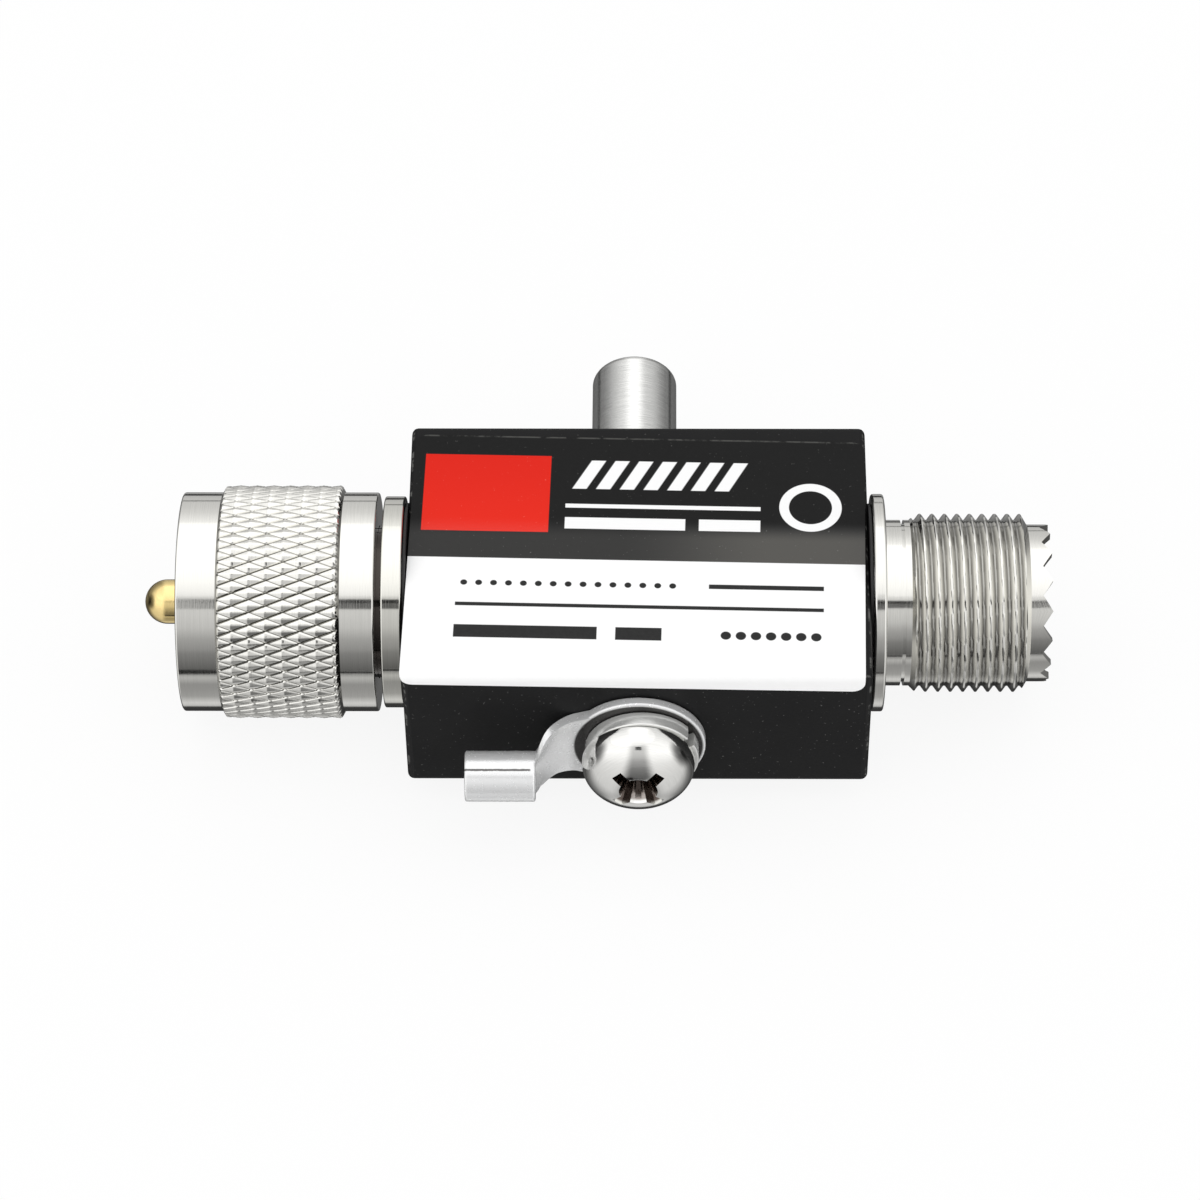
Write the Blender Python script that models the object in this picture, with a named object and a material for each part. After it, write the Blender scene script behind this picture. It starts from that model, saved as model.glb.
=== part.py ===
"""Coax lightning arrestor: a block with a UHF plug, a UHF socket, a gas tube under a cap and an earth lug.

Frame: the origin is the centre of the block's underside, +X runs along the line from the plug to the
socket, +Y is the cap's side and +Z the label's side. Units are metres.
"""

import math

import bmesh
import bpy
from mathutils import Matrix, Vector

MM = 0.001

# Clearances
SEAT_GAP = 0.05 * MM  # between flat faces that rest on each other
FIT_GAP = 0.06 * MM  # round a piece that is pressed, pushed or screwed in
RUNNING_GAP = 0.10 * MM  # round and beside a piece that turns

# Block
BLOCK_LENGTH = 40.5 * MM
BLOCK_DEPTH = 28.5 * MM
BLOCK_HEIGHT = 15.0 * MM
BLOCK_EDGE_RADIUS = 0.6 * MM
LINE_BORE_RADIUS = 4.6 * MM
SPIGOT_RADIUS = 5.5 * MM
SPIGOT_LENGTH = 5.0 * MM  # how far each connector shell goes into the block

# Label
LABEL_LEFT_MARGIN = 0.15 * MM
LABEL_RIGHT_MARGIN = 0.35 * MM
LABEL_THICKNESS = 0.12 * MM
LABEL_BACK_MARGIN = 1.65 * MM  # from the block's back edge, at the label's middle
LABEL_FRONT_LAP = 1.4 * MM  # how far it reaches down the front face, at its middle
LABEL_CORNER_RADIUS = 1.1 * MM
LABEL_TILT = math.radians(-1.3)  # it was stuck on slightly askew
LABEL_BEND_STEPS = 4

# Gaskets
GASKET_RADIUS = 8.8 * MM
GASKET_THICKNESS = 0.25 * MM

# Plug shell and coupling ring
PLUG_FLANGE_RADIUS = 9.38 * MM
PLUG_FLANGE_THICKNESS = 1.8 * MM
FLANGE_EDGE_RADIUS = 0.3 * MM  # on both flanges
PLUG_NECK_RADIUS = 6.7 * MM
PLUG_NOSE_RADIUS = 6.2 * MM
PLUG_NOSE_LENGTH = 4.5 * MM
PLUG_NOSE_BORE_RADIUS = 5.0 * MM
PLUG_NOSE_TOOTH_DEPTH = 0.5 * MM
RING_BACK_GAP = 0.55 * MM  # the open gap between the coupling ring and the plug's flange
RING_LENGTH = 17.3 * MM
RING_FRONT_BAND = 3.5 * MM
RING_BACK_BAND = 3.0 * MM
RING_EDGE_RADIUS = 0.35 * MM
KNURL_HEIGHT = 0.63 * MM  # over the smooth bands
KNURL_CHAMFER = 0.35 * MM
RING_THREAD_BORE_RADIUS = 7.5 * MM
RING_THREAD_LENGTH = 6.0 * MM
RING_MOUTH_CHAMFER = 0.6 * MM
RING_RELIEF_DEPTH = 0.7 * MM  # behind the thread
RING_SIDE_WALL = 2.22 * MM  # from the thread to the smooth bands
RING_WALL = 3.2 * MM  # the ring's back wall, which the retaining ring holds
RING_NOSE_RECESS = 4.8 * MM  # from the ring's front edge to the plug's nose
RETAINER_THICKNESS = 1.0 * MM
RETAINER_OUTER_RADIUS = 7.7 * MM
RETAINER_GROOVE_RADIUS = 6.0 * MM
RETAINER_SLOT = math.radians(30)

# Plug pin and plug insulator
PIN_RADIUS = 1.98 * MM
PIN_REACH = 3.55 * MM  # past the coupling ring's front edge
PIN_NOSE_LENGTH = 2.0 * MM
PIN_COLLAR_RADIUS = 2.7 * MM
PIN_COLLAR_LENGTH = 1.0 * MM
PLUG_INSULATOR_RECESS = 0.8 * MM  # behind the roots of the plug's nose teeth
PLUG_INSULATOR_LENGTH = 7.5 * MM
TAIL_RADIUS = 1.2 * MM
TAIL_LENGTH = 2.5 * MM
TAIL_HOLE_SPARE = 0.3 * MM

# Socket shell
SOCKET_FLANGE_RADIUS = 9.65 * MM
SOCKET_FLANGE_THICKNESS = 1.1 * MM
SOCKET_NECK_RADIUS = 7.35 * MM
SOCKET_NECK_LENGTH = 1.5 * MM
SOCKET_GROOVE_RADIUS = 7.0 * MM
SOCKET_GROOVE_WIDTH = 0.3 * MM
SOCKET_RIB_WIDTH = 0.5 * MM
SOCKET_THREAD_RADIUS = 7.9 * MM
SOCKET_THREAD_LENGTH = 10.4 * MM
SOCKET_THREAD_PITCH = 1.108 * MM
SOCKET_THREAD_DEPTH = 0.55 * MM
SOCKET_THREAD_FLAT = 0.16 * MM  # the width of a crest, and of a root
SOCKET_COLLAR_RADIUS = 6.96 * MM
SOCKET_COLLAR_LENGTH = 1.9 * MM
SOCKET_BORE_RADIUS = 6.35 * MM
SOCKET_BORE_FLOOR = 0.3 * MM  # from the flange's face to the end of the bore
TOOTH_DEPTH = 0.85 * MM
TOOTH_COUNT = 16

# Socket insulator and contact
SOCKET_INSULATOR_RECESS = 8.0 * MM  # from the tips of the teeth to the insulator's face
CONTACT_RADIUS = 2.75 * MM
CONTACT_BORE_RADIUS = 2.05 * MM
CONTACT_BORE_DEPTH = 8.5 * MM
CONTACT_PROUD = 0.3 * MM  # of the insulator's face
CONTACT_END_WALL = 1.7 * MM
CONTACT_SLOT_WIDTH = 0.5 * MM
CONTACT_SLOT_LENGTH = 5.0 * MM

# Line conductor
CONDUCTOR_RADIUS = 2.0 * MM
HUB_RADIUS = 2.8 * MM
HUB_LENGTH = 9.0 * MM
HUB_FLAT = 2.0 * MM  # from the line's axis to the flat that the gas tube rests on

# Gas tube and contact spring
CAP_OFFSET = -0.4 * MM  # the cap's axis, along X from the block's middle
TUBE_RADIUS = 2.75 * MM
TUBE_BORE_RADIUS = 1.9 * MM
CERAMIC_LENGTH = 4.0 * MM
ELECTRODE_THICKNESS = 0.9 * MM
ELECTRODE_TIP_RADIUS = 1.3 * MM
SPARK_GAP = 0.9 * MM
SPRING_WIRE_RADIUS = 0.25 * MM
SPRING_MEAN_RADIUS = 1.9 * MM
SPRING_TURNS = 4.5
SPRING_LENGTH = 4.4 * MM  # between the outer electrode and the end of the cap's bore
SPRING_STEPS = 10  # straight pieces in each turn

# Arrestor cap
CAP_RADIUS = 3.85 * MM
CAP_REACH = 12.0 * MM  # past the block's back face
CAP_END_RADIUS = 0.7 * MM
CAP_THREAD_RADIUS = 3.5 * MM
CAP_THREAD_LENGTH = 9.0 * MM
CAP_BORE_RADIUS = 2.9 * MM

# Ground screw and lock washer
SCREW_OFFSET = 0.1 * MM  # the screw's axis, along X from the block's middle
SCREW_DROP = 1.1 * MM  # the screw's axis, below the line's axis
SCREW_RADIUS = 2.45 * MM
SCREW_LENGTH = 8.9 * MM
SCREW_TIP_CHAMFER = 0.4 * MM
SCREW_HOLE_SPARE = 0.8 * MM
SCREW_HOLE_CONE = 1.0 * MM
HEAD_RADIUS = 4.9 * MM
HEAD_RIM = 0.7 * MM
HEAD_HEIGHT = 3.6 * MM
HEAD_FULLNESS = 0.85  # under 1 the crown is rounder than an ellipse
RECESS_REACH = 2.6 * MM
RECESS_WIDTH = 1.3 * MM
RECESS_DEPTH = 2.5 * MM
RECESS_TAPER = 0.45  # the size at the recess's bottom, as a share of that at its top
WASHER_THICKNESS = 1.4 * MM
WASHER_OUTER_RADIUS = 4.95 * MM
WASHER_INNER_RADIUS = 2.85 * MM
WASHER_SHIFT = 0.3 * MM  # the washer sits off centre by part of its play
WASHER_SLOT = math.radians(12)
WASHER_SLOT_TURN = math.radians(-60)

# Ring terminal
LUG_THICKNESS = 0.9 * MM
LUG_RING_RADIUS = 5.85 * MM
LUG_HOLE_RADIUS = 2.7 * MM
LUG_BEND_SPARE = 0.1 * MM  # between the washer's rim and the bend in the tongue
LUG_BARREL_START = 8.9 * MM  # from the screw's axis to the barrel
LUG_BARREL_LENGTH = 6.1 * MM
LUG_BARREL_RADIUS = 2.2 * MM
LUG_JOINT_LENGTH = 1.0 * MM  # how far the tongue runs into the barrel
LUG_RISE = 2.0 * MM  # how far the barrel's wall stands in front of the ring
LUG_ROOT_WIDTH = 7.6 * MM
LUG_WAIST_WIDTH = 6.1 * MM
LUG_ROOT_CURL = math.radians(1)
LUG_CURL = math.radians(190)  # how far the sheet has curled up where the barrel begins
LUG_CURL_GROWTH = 2.5  # the greater, the later the tongue curls
LUG_SECTION_STEPS = 8
LUG_LOFT_STEPS = 6

# Facets
SHELL_SEGMENTS = 2 * TOOTH_COUNT  # two to each tooth
ROUND_SEGMENTS = 36
SMALL_SEGMENTS = 24
FILLET_STEPS = 3
NOSE_STEPS = 5
CROWN_STEPS = 7
BLOCK_EDGE_STEPS = 3
MERGE_DISTANCE = MM / 10000
SPARE = 1.0 * MM  # how far a cutter runs past what it cuts

# Places worked out from the sizes above
LINE_HEIGHT = BLOCK_HEIGHT / 2
LABEL_WIDTH = BLOCK_LENGTH - LABEL_LEFT_MARGIN - LABEL_RIGHT_MARGIN
LABEL_MIDDLE = (LABEL_LEFT_MARGIN - LABEL_RIGHT_MARGIN) / 2
FLANGE_PLACE = BLOCK_LENGTH / 2 + SEAT_GAP + GASKET_THICKNESS + SEAT_GAP
PLUG_FLANGE_FRONT = -FLANGE_PLACE - PLUG_FLANGE_THICKNESS
RING_BACK = PLUG_FLANGE_FRONT - RING_BACK_GAP
RING_FRONT = RING_BACK - RING_LENGTH
RING_BAND_RADIUS = RING_THREAD_BORE_RADIUS + RING_SIDE_WALL
RING_RELIEF_RADIUS = RING_THREAD_BORE_RADIUS + RING_RELIEF_DEPTH
KNURL_RADIUS = RING_BAND_RADIUS + KNURL_HEIGHT
NOSE_FRONT = RING_FRONT + RING_NOSE_RECESS
NOSE_BACK = NOSE_FRONT + PLUG_NOSE_LENGTH
RETAINER_BACK = RING_BACK - RING_WALL - RUNNING_GAP
PIN_TIP = RING_FRONT - PIN_REACH
PLUG_INSULATOR_FRONT = NOSE_FRONT + PLUG_NOSE_TOOTH_DEPTH + PLUG_INSULATOR_RECESS
PLUG_INSULATOR_BACK = PLUG_INSULATOR_FRONT + PLUG_INSULATOR_LENGTH
PIN_COLLAR_FRONT = PLUG_INSULATOR_BACK + SEAT_GAP
PIN_BACK = PIN_COLLAR_FRONT + PIN_COLLAR_LENGTH
SOCKET_NECK_START = FLANGE_PLACE + SOCKET_FLANGE_THICKNESS
SOCKET_GROOVE_START = SOCKET_NECK_START + SOCKET_NECK_LENGTH
SOCKET_RIB_START = SOCKET_GROOVE_START + SOCKET_GROOVE_WIDTH
SOCKET_THREAD_START = SOCKET_RIB_START + SOCKET_RIB_WIDTH
SOCKET_THREAD_COUNT = max(1, int(SOCKET_THREAD_LENGTH / SOCKET_THREAD_PITCH))
SOCKET_COLLAR_START = SOCKET_THREAD_START + SOCKET_THREAD_LENGTH
TOOTH_TIPS = SOCKET_COLLAR_START + SOCKET_COLLAR_LENGTH
SOCKET_BORE_END = SOCKET_NECK_START + SOCKET_BORE_FLOOR
SOCKET_INSULATOR_FACE = TOOTH_TIPS - SOCKET_INSULATOR_RECESS
CONTACT_FRONT = SOCKET_INSULATOR_FACE + CONTACT_PROUD
CONTACT_BACK = CONTACT_FRONT - CONTACT_BORE_DEPTH - CONTACT_END_WALL
CONDUCTOR_START = PIN_BACK + SEAT_GAP
CONDUCTOR_END = CONTACT_BACK - SEAT_GAP
TUBE_START = HUB_FLAT + SEAT_GAP
CERAMIC_START = TUBE_START + ELECTRODE_THICKNESS + SEAT_GAP
OUTER_ELECTRODE_START = CERAMIC_START + CERAMIC_LENGTH + SEAT_GAP
SPRING_START = OUTER_ELECTRODE_START + ELECTRODE_THICKNESS + SEAT_GAP
CAP_BORE_END = SPRING_START + SPRING_LENGTH + SEAT_GAP
CAP_SEAT = BLOCK_DEPTH / 2 + SEAT_GAP
SCREW_HEIGHT = LINE_HEIGHT - SCREW_DROP
LUG_BACK = SEAT_GAP
LUG_BEND = WASHER_OUTER_RADIUS + WASHER_SHIFT + LUG_BEND_SPARE  # from the screw's axis
WASHER_BACK = LUG_BACK + LUG_THICKNESS + SEAT_GAP
HEAD_SEAT = WASHER_BACK + WASHER_THICKNESS + SEAT_GAP
SCREW_HOLE_DEPTH = SCREW_LENGTH - HEAD_SEAT + SCREW_HOLE_SPARE


def clear_scene():
    for old in list(bpy.data.objects):
        bpy.data.objects.remove(old, do_unlink=True)


def material(name, colour, roughness, metallic):
    made = bpy.data.materials.new(name)
    made.use_nodes = True
    shader = made.node_tree.nodes["Principled BSDF"]
    shader.inputs["Base Color"].default_value = (*colour, 1)
    shader.inputs["Roughness"].default_value = roughness
    shader.inputs["Metallic"].default_value = metallic
    made.diffuse_color = (*colour, 1)
    return made


def filleted(corners, steps=FILLET_STEPS):
    """Points of an outline. A corner with a third value, its radius, becomes an arc."""
    points = []
    for index, corner in enumerate(corners):
        here = Vector(corner[:2])
        if len(corner) == 2:
            points.append(here)
            continue
        before = (Vector(corners[index - 1][:2]) - here).normalized()
        after = (Vector(corners[(index + 1) % len(corners)][:2]) - here).normalized()
        half = before.angle(after) / 2
        centre = here + (before + after).normalized() * corner[2] / math.sin(half)
        first = here + before * corner[2] / math.tan(half) - centre
        last = here + after * corner[2] / math.tan(half) - centre
        sweep = first.angle(last)
        for step in range(steps + 1):
            share = step / steps
            near = first * math.sin((1 - share) * sweep)
            far = last * math.sin(share * sweep)
            points.append(centre + (near + far) / math.sin(sweep))
    return points


def spun(points, segments, closed, angle=math.tau):
    """A bmesh turned about X from points of (along, radius)."""
    bm = bmesh.new()
    verts = [bm.verts.new((point[0], 0, point[1])) for point in points]
    edges = [bm.edges.new(pair) for pair in zip(verts, verts[1:])]
    if closed:
        edges.append(bm.edges.new((verts[-1], verts[0])))
    whole = angle == math.tau
    bmesh.ops.spin(
        bm, geom=verts + edges, cent=(0, 0, 0), axis=(1, 0, 0), angle=angle, steps=segments, use_merge=whole
    )
    if not whole:
        rims = [edge for edge in bm.edges if edge.is_boundary]
        bmesh.ops.holes_fill(bm, edges=rims)
    bmesh.ops.remove_doubles(bm, verts=bm.verts, dist=MERGE_DISTANCE)
    bmesh.ops.recalc_face_normals(bm, faces=bm.faces)
    return bm


def toothed(bm, end, depth, inward):
    """Cut triangular teeth in the end ring of a turned tube. inward is +1 or -1 along X."""
    for vert in bm.verts:
        if abs(vert.co.x - end) < MERGE_DISTANCE:
            turn = math.atan2(vert.co.y, vert.co.z) / math.tau
            share = (turn * TOOTH_COUNT) % 1
            vert.co.x += inward * depth * (1 - abs(2 * share - 1))


def put(name, bm, finish, place=(0, 0, LINE_HEIGHT), heading=0, parent=None):
    """Make the node from its bmesh. heading turns the mesh's X axis about Z."""
    mesh = bpy.data.meshes.new(name)
    bm.to_mesh(mesh)
    bm.free()
    mesh.shade_smooth()
    mesh.set_sharp_from_angle(angle=math.radians(30))
    mesh.materials.append(finish)
    made = bpy.data.objects.new(name, mesh)
    bpy.context.collection.objects.link(made)
    made.parent = parent
    made.location = place
    made.rotation_euler = (0, 0, heading)
    return made


def cutter(name, bm, place=(0, 0, LINE_HEIGHT), heading=0):
    made = put(name, bm, materials["cutter"], place, heading)
    made.hide_render = True
    made.display_type = "WIRE"
    return made


def combine(target, other, operation):
    boolean = target.modifiers.new(other.name, "BOOLEAN")
    boolean.operation = operation
    boolean.solver = "EXACT"
    boolean.object = other


def box(low, high):
    bm = bmesh.new()
    bmesh.ops.create_cube(bm, size=1)
    for vert in bm.verts:
        vert.co = Vector(high[i] if vert.co[i] > 0 else low[i] for i in range(3))
    return bm


def rod(start, end, radius, segments=SMALL_SEGMENTS, tip=0):
    """A plain rod along X. tip is the length of a cone at its start."""
    points = [(start - tip, 0), (start, radius), (end, radius), (end, 0)]
    return spun(points, segments, closed=False)


def make_block():
    half = BLOCK_LENGTH / 2
    block = put("housing", box((-half, -BLOCK_DEPTH / 2, 0), (half, BLOCK_DEPTH / 2, BLOCK_HEIGHT)),
                materials["black_paint"], place=(0, 0, 0))
    bevel = block.modifiers.new("edges", "BEVEL")
    bevel.width = BLOCK_EDGE_RADIUS
    bevel.segments = BLOCK_EDGE_STEPS
    mouth = SPIGOT_RADIUS + FIT_GAP
    seat = half - SPIGOT_LENGTH - FIT_GAP
    line_bore = [
        (-half - SPARE, 0),
        (-half - SPARE, mouth),
        (-seat, mouth),
        (-seat, LINE_BORE_RADIUS),
        (seat, LINE_BORE_RADIUS),
        (seat, mouth),
        (half + SPARE, mouth),
        (half + SPARE, 0),
    ]
    combine(block, cutter("line_bore", spun(line_bore, SHELL_SEGMENTS, closed=False)), "DIFFERENCE")
    cap_hole = rod(0, BLOCK_DEPTH / 2 + SPARE, CAP_THREAD_RADIUS + FIT_GAP, ROUND_SEGMENTS)
    combine(block, cutter("cap_hole", cap_hole, (CAP_OFFSET, 0, LINE_HEIGHT), math.pi / 2), "DIFFERENCE")
    screw_hole = rod(-SCREW_HOLE_DEPTH, SPARE, SCREW_RADIUS + FIT_GAP, tip=SCREW_HOLE_CONE)
    place = (SCREW_OFFSET, -BLOCK_DEPTH / 2, SCREW_HEIGHT)
    combine(block, cutter("screw_hole", screw_hole, place, -math.pi / 2), "DIFFERENCE")


def make_label():
    """A film cut as a flat sheet, bent over the block's front edge."""
    bend_radius = BLOCK_EDGE_RADIUS + SEAT_GAP
    bend_length = bend_radius * math.pi / 2
    bend_start = BLOCK_DEPTH / 2 - BLOCK_EDGE_RADIUS  # measured towards the front from the block's middle
    back = -(BLOCK_DEPTH / 2 - LABEL_BACK_MARGIN)
    front = bend_start + bend_length + LABEL_FRONT_LAP - BLOCK_EDGE_RADIUS
    outline = filleted([
        (-LABEL_WIDTH / 2, back, LABEL_CORNER_RADIUS),
        (-LABEL_WIDTH / 2, front, LABEL_CORNER_RADIUS),
        (LABEL_WIDTH / 2, front, LABEL_CORNER_RADIUS),
        (LABEL_WIDTH / 2, back, LABEL_CORNER_RADIUS),
    ])
    bm = bmesh.new()
    bm.faces.new([bm.verts.new((point.x, point.y, 0)) for point in outline])
    bmesh.ops.rotate(bm, verts=bm.verts, cent=(0, 0, 0), matrix=Matrix.Rotation(-LABEL_TILT, 3, "Z"))
    for step in range(LABEL_BEND_STEPS + 1):
        cut = bend_start + bend_length * step / LABEL_BEND_STEPS
        bmesh.ops.bisect_plane(
            bm, geom=bm.verts[:] + bm.edges[:] + bm.faces[:], plane_co=(0, cut, 0), plane_no=(0, 1, 0)
        )
    top = BLOCK_HEIGHT + SEAT_GAP
    for vert in bm.verts:
        along = vert.co.y
        if along <= bend_start:
            vert.co = (vert.co.x, -along, top)
        elif along <= bend_start + bend_length:
            angle = (along - bend_start) / bend_radius
            vert.co.y = -bend_start - bend_radius * math.sin(angle)
            vert.co.z = BLOCK_HEIGHT - BLOCK_EDGE_RADIUS + bend_radius * math.cos(angle)
        else:
            vert.co.y = -bend_start - bend_radius
            vert.co.z = BLOCK_HEIGHT - BLOCK_EDGE_RADIUS - (along - bend_start - bend_length)
    bmesh.ops.translate(bm, verts=bm.verts, vec=(LABEL_MIDDLE, 0, 0))
    bmesh.ops.recalc_face_normals(bm, faces=bm.faces)
    if sum(face.normal.z * face.calc_area() for face in bm.faces) < 0:
        bmesh.ops.reverse_faces(bm, faces=bm.faces)
    label = put("label", bm, materials["label_print"], place=(0, 0, 0))
    film = label.modifiers.new("film", "SOLIDIFY")
    film.thickness = LABEL_THICKNESS
    film.offset = 1


def make_gaskets():
    hole = SPIGOT_RADIUS + FIT_GAP
    for name, side in (("plug_gasket", -1), ("socket_gasket", 1)):
        near = side * (BLOCK_LENGTH / 2 + SEAT_GAP)
        far = near + side * GASKET_THICKNESS
        points = [(near, hole), (near, GASKET_RADIUS), (far, GASKET_RADIUS), (far, hole)]
        put(name, spun(points, ROUND_SEGMENTS, closed=True), materials["black_rubber"])


def make_plug_shell():
    groove_front = RETAINER_BACK - RETAINER_THICKNESS - FIT_GAP
    groove_back = RETAINER_BACK + FIT_GAP
    insulator_seat = PLUG_INSULATOR_BACK + SEAT_GAP
    end = -FLANGE_PLACE + SEAT_GAP + GASKET_THICKNESS + SEAT_GAP + SPIGOT_LENGTH
    edge = min(FLANGE_EDGE_RADIUS, PLUG_FLANGE_THICKNESS / 3)
    points = filleted([
        (NOSE_FRONT, PLUG_NOSE_RADIUS),
        (NOSE_BACK, PLUG_NOSE_RADIUS),
        (NOSE_BACK, PLUG_NECK_RADIUS),
        (groove_front, PLUG_NECK_RADIUS),
        (groove_front, RETAINER_GROOVE_RADIUS),
        (groove_back, RETAINER_GROOVE_RADIUS),
        (groove_back, PLUG_NECK_RADIUS),
        (PLUG_FLANGE_FRONT, PLUG_NECK_RADIUS),
        (PLUG_FLANGE_FRONT, PLUG_FLANGE_RADIUS, edge),
        (-FLANGE_PLACE, PLUG_FLANGE_RADIUS, edge),
        (-FLANGE_PLACE, SPIGOT_RADIUS),
        (end, SPIGOT_RADIUS),
        (end, LINE_BORE_RADIUS),
        (insulator_seat, LINE_BORE_RADIUS),
        (insulator_seat, PLUG_NOSE_BORE_RADIUS),
        (NOSE_FRONT, PLUG_NOSE_BORE_RADIUS),
    ], steps=2)
    bm = spun(points, SHELL_SEGMENTS, closed=True)
    toothed(bm, NOSE_FRONT, PLUG_NOSE_TOOTH_DEPTH, 1)
    put("plug_shell", bm, materials["nickel"])


def make_coupling_ring():
    thread_end = RING_FRONT + RING_THREAD_LENGTH
    wall_front = RING_BACK - RING_WALL
    knurl_start = RING_FRONT + RING_FRONT_BAND
    knurl_end = RING_BACK - RING_BACK_BAND
    hole = PLUG_NECK_RADIUS + RUNNING_GAP
    edge = min(RING_EDGE_RADIUS, RING_BACK_BAND / 3)
    points = filleted([
        (RING_FRONT, RING_THREAD_BORE_RADIUS + RING_MOUTH_CHAMFER),
        (RING_FRONT, RING_BAND_RADIUS, edge),
        (knurl_start, RING_BAND_RADIUS),
        (knurl_start + KNURL_CHAMFER, KNURL_RADIUS),
        (knurl_end - KNURL_CHAMFER, KNURL_RADIUS),
        (knurl_end, RING_BAND_RADIUS),
        (RING_BACK, RING_BAND_RADIUS, edge),
        (RING_BACK, hole),
        (wall_front, hole),
        (wall_front, RING_RELIEF_RADIUS),
        (thread_end, RING_RELIEF_RADIUS),
        (thread_end, RING_THREAD_BORE_RADIUS),
        (RING_FRONT + RING_MOUTH_CHAMFER, RING_THREAD_BORE_RADIUS),
    ], steps=2)
    put("coupling_ring", spun(points, SHELL_SEGMENTS, closed=True), materials["knurled_nickel"])


def split_ring(near, far, inner, outer, slot, turn):
    """An open ring of rectangular section, with its slot at the given turn about X."""
    points = [(near, inner), (near, outer), (far, outer), (far, inner)]
    bm = spun(points, ROUND_SEGMENTS, closed=True, angle=math.tau - slot)
    bmesh.ops.rotate(bm, verts=bm.verts, cent=(0, 0, 0), matrix=Matrix.Rotation(turn + slot / 2, 3, "X"))
    return bm


def make_retaining_ring():
    bm = split_ring(
        RETAINER_BACK - RETAINER_THICKNESS,
        RETAINER_BACK,
        RETAINER_GROOVE_RADIUS + FIT_GAP,
        RETAINER_OUTER_RADIUS,
        RETAINER_SLOT,
        0,
    )
    put("retaining_ring", bm, materials["spring_steel"])


def make_plug_pin():
    nose = []
    for step in range(NOSE_STEPS + 1):
        angle = math.pi / 2 * step / NOSE_STEPS
        nose.append((PIN_TIP + PIN_NOSE_LENGTH * (1 - math.cos(angle)), PIN_RADIUS * math.sin(angle)))
    points = nose + [
        (PIN_COLLAR_FRONT, PIN_RADIUS),
        (PIN_COLLAR_FRONT, PIN_COLLAR_RADIUS),
        (PIN_BACK, PIN_COLLAR_RADIUS),
        (PIN_BACK, TAIL_RADIUS),
        (PIN_BACK + TAIL_LENGTH, TAIL_RADIUS),
        (PIN_BACK + TAIL_LENGTH, 0),
    ]
    put("plug_pin", spun(points, SMALL_SEGMENTS, closed=False), materials["gold_plate"])


def make_insulators():
    seat = SOCKET_BORE_END + SEAT_GAP
    sizes = (
        ("plug_insulator", PLUG_INSULATOR_FRONT, PLUG_INSULATOR_BACK, PLUG_NOSE_BORE_RADIUS, PIN_RADIUS),
        ("socket_insulator", seat, SOCKET_INSULATOR_FACE, SOCKET_BORE_RADIUS, CONTACT_RADIUS),
    )
    for name, near, far, bore, core in sizes:
        inner = core + FIT_GAP
        outer = bore - FIT_GAP
        points = [(near, inner), (near, outer), (far, outer), (far, inner)]
        put(name, spun(points, ROUND_SEGMENTS, closed=True), materials["ptfe"])


def make_line_conductor():
    hole_depth = TAIL_LENGTH + TAIL_HOLE_SPARE
    hole = TAIL_RADIUS + FIT_GAP
    hub_start = CAP_OFFSET - HUB_LENGTH / 2
    hub_end = CAP_OFFSET + HUB_LENGTH / 2
    points = [
        (CONDUCTOR_START + hole_depth, 0),
        (CONDUCTOR_START + hole_depth, hole),
        (CONDUCTOR_START, hole),
        (CONDUCTOR_START, CONDUCTOR_RADIUS),
        (hub_start, CONDUCTOR_RADIUS),
        (hub_start, HUB_RADIUS),
        (hub_end, HUB_RADIUS),
        (hub_end, CONDUCTOR_RADIUS),
        (CONDUCTOR_END, CONDUCTOR_RADIUS),
        (CONDUCTOR_END, hole),
        (CONDUCTOR_END - hole_depth, hole),
        (CONDUCTOR_END - hole_depth, 0),
    ]
    rod_node = put("line_conductor", spun(points, SMALL_SEGMENTS, closed=False), materials["brass"])
    flat = box(
        (hub_start - SPARE, HUB_FLAT, -HUB_RADIUS - SPARE),
        (hub_end + SPARE, HUB_RADIUS + SPARE, HUB_RADIUS + SPARE),
    )
    combine(rod_node, cutter("hub_flat", flat), "DIFFERENCE")


def socket_thread():
    """The thread's outline, as rings side by side instead of one helix."""
    root = SOCKET_THREAD_RADIUS - SOCKET_THREAD_DEPTH
    half = SOCKET_THREAD_FLAT / 2
    width = SOCKET_THREAD_COUNT * SOCKET_THREAD_PITCH
    first_root = SOCKET_THREAD_START + (SOCKET_THREAD_LENGTH - width) / 2
    points = [(first_root, root)]
    for index in range(SOCKET_THREAD_COUNT):
        crest = first_root + (index + 0.5) * SOCKET_THREAD_PITCH
        points.append((crest - half, SOCKET_THREAD_RADIUS))
        points.append((crest + half, SOCKET_THREAD_RADIUS))
        if index < SOCKET_THREAD_COUNT - 1:
            points.append((crest + SOCKET_THREAD_PITCH / 2 - half, root))
            points.append((crest + SOCKET_THREAD_PITCH / 2 + half, root))
    points.append((first_root + width, root))
    return points


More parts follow.
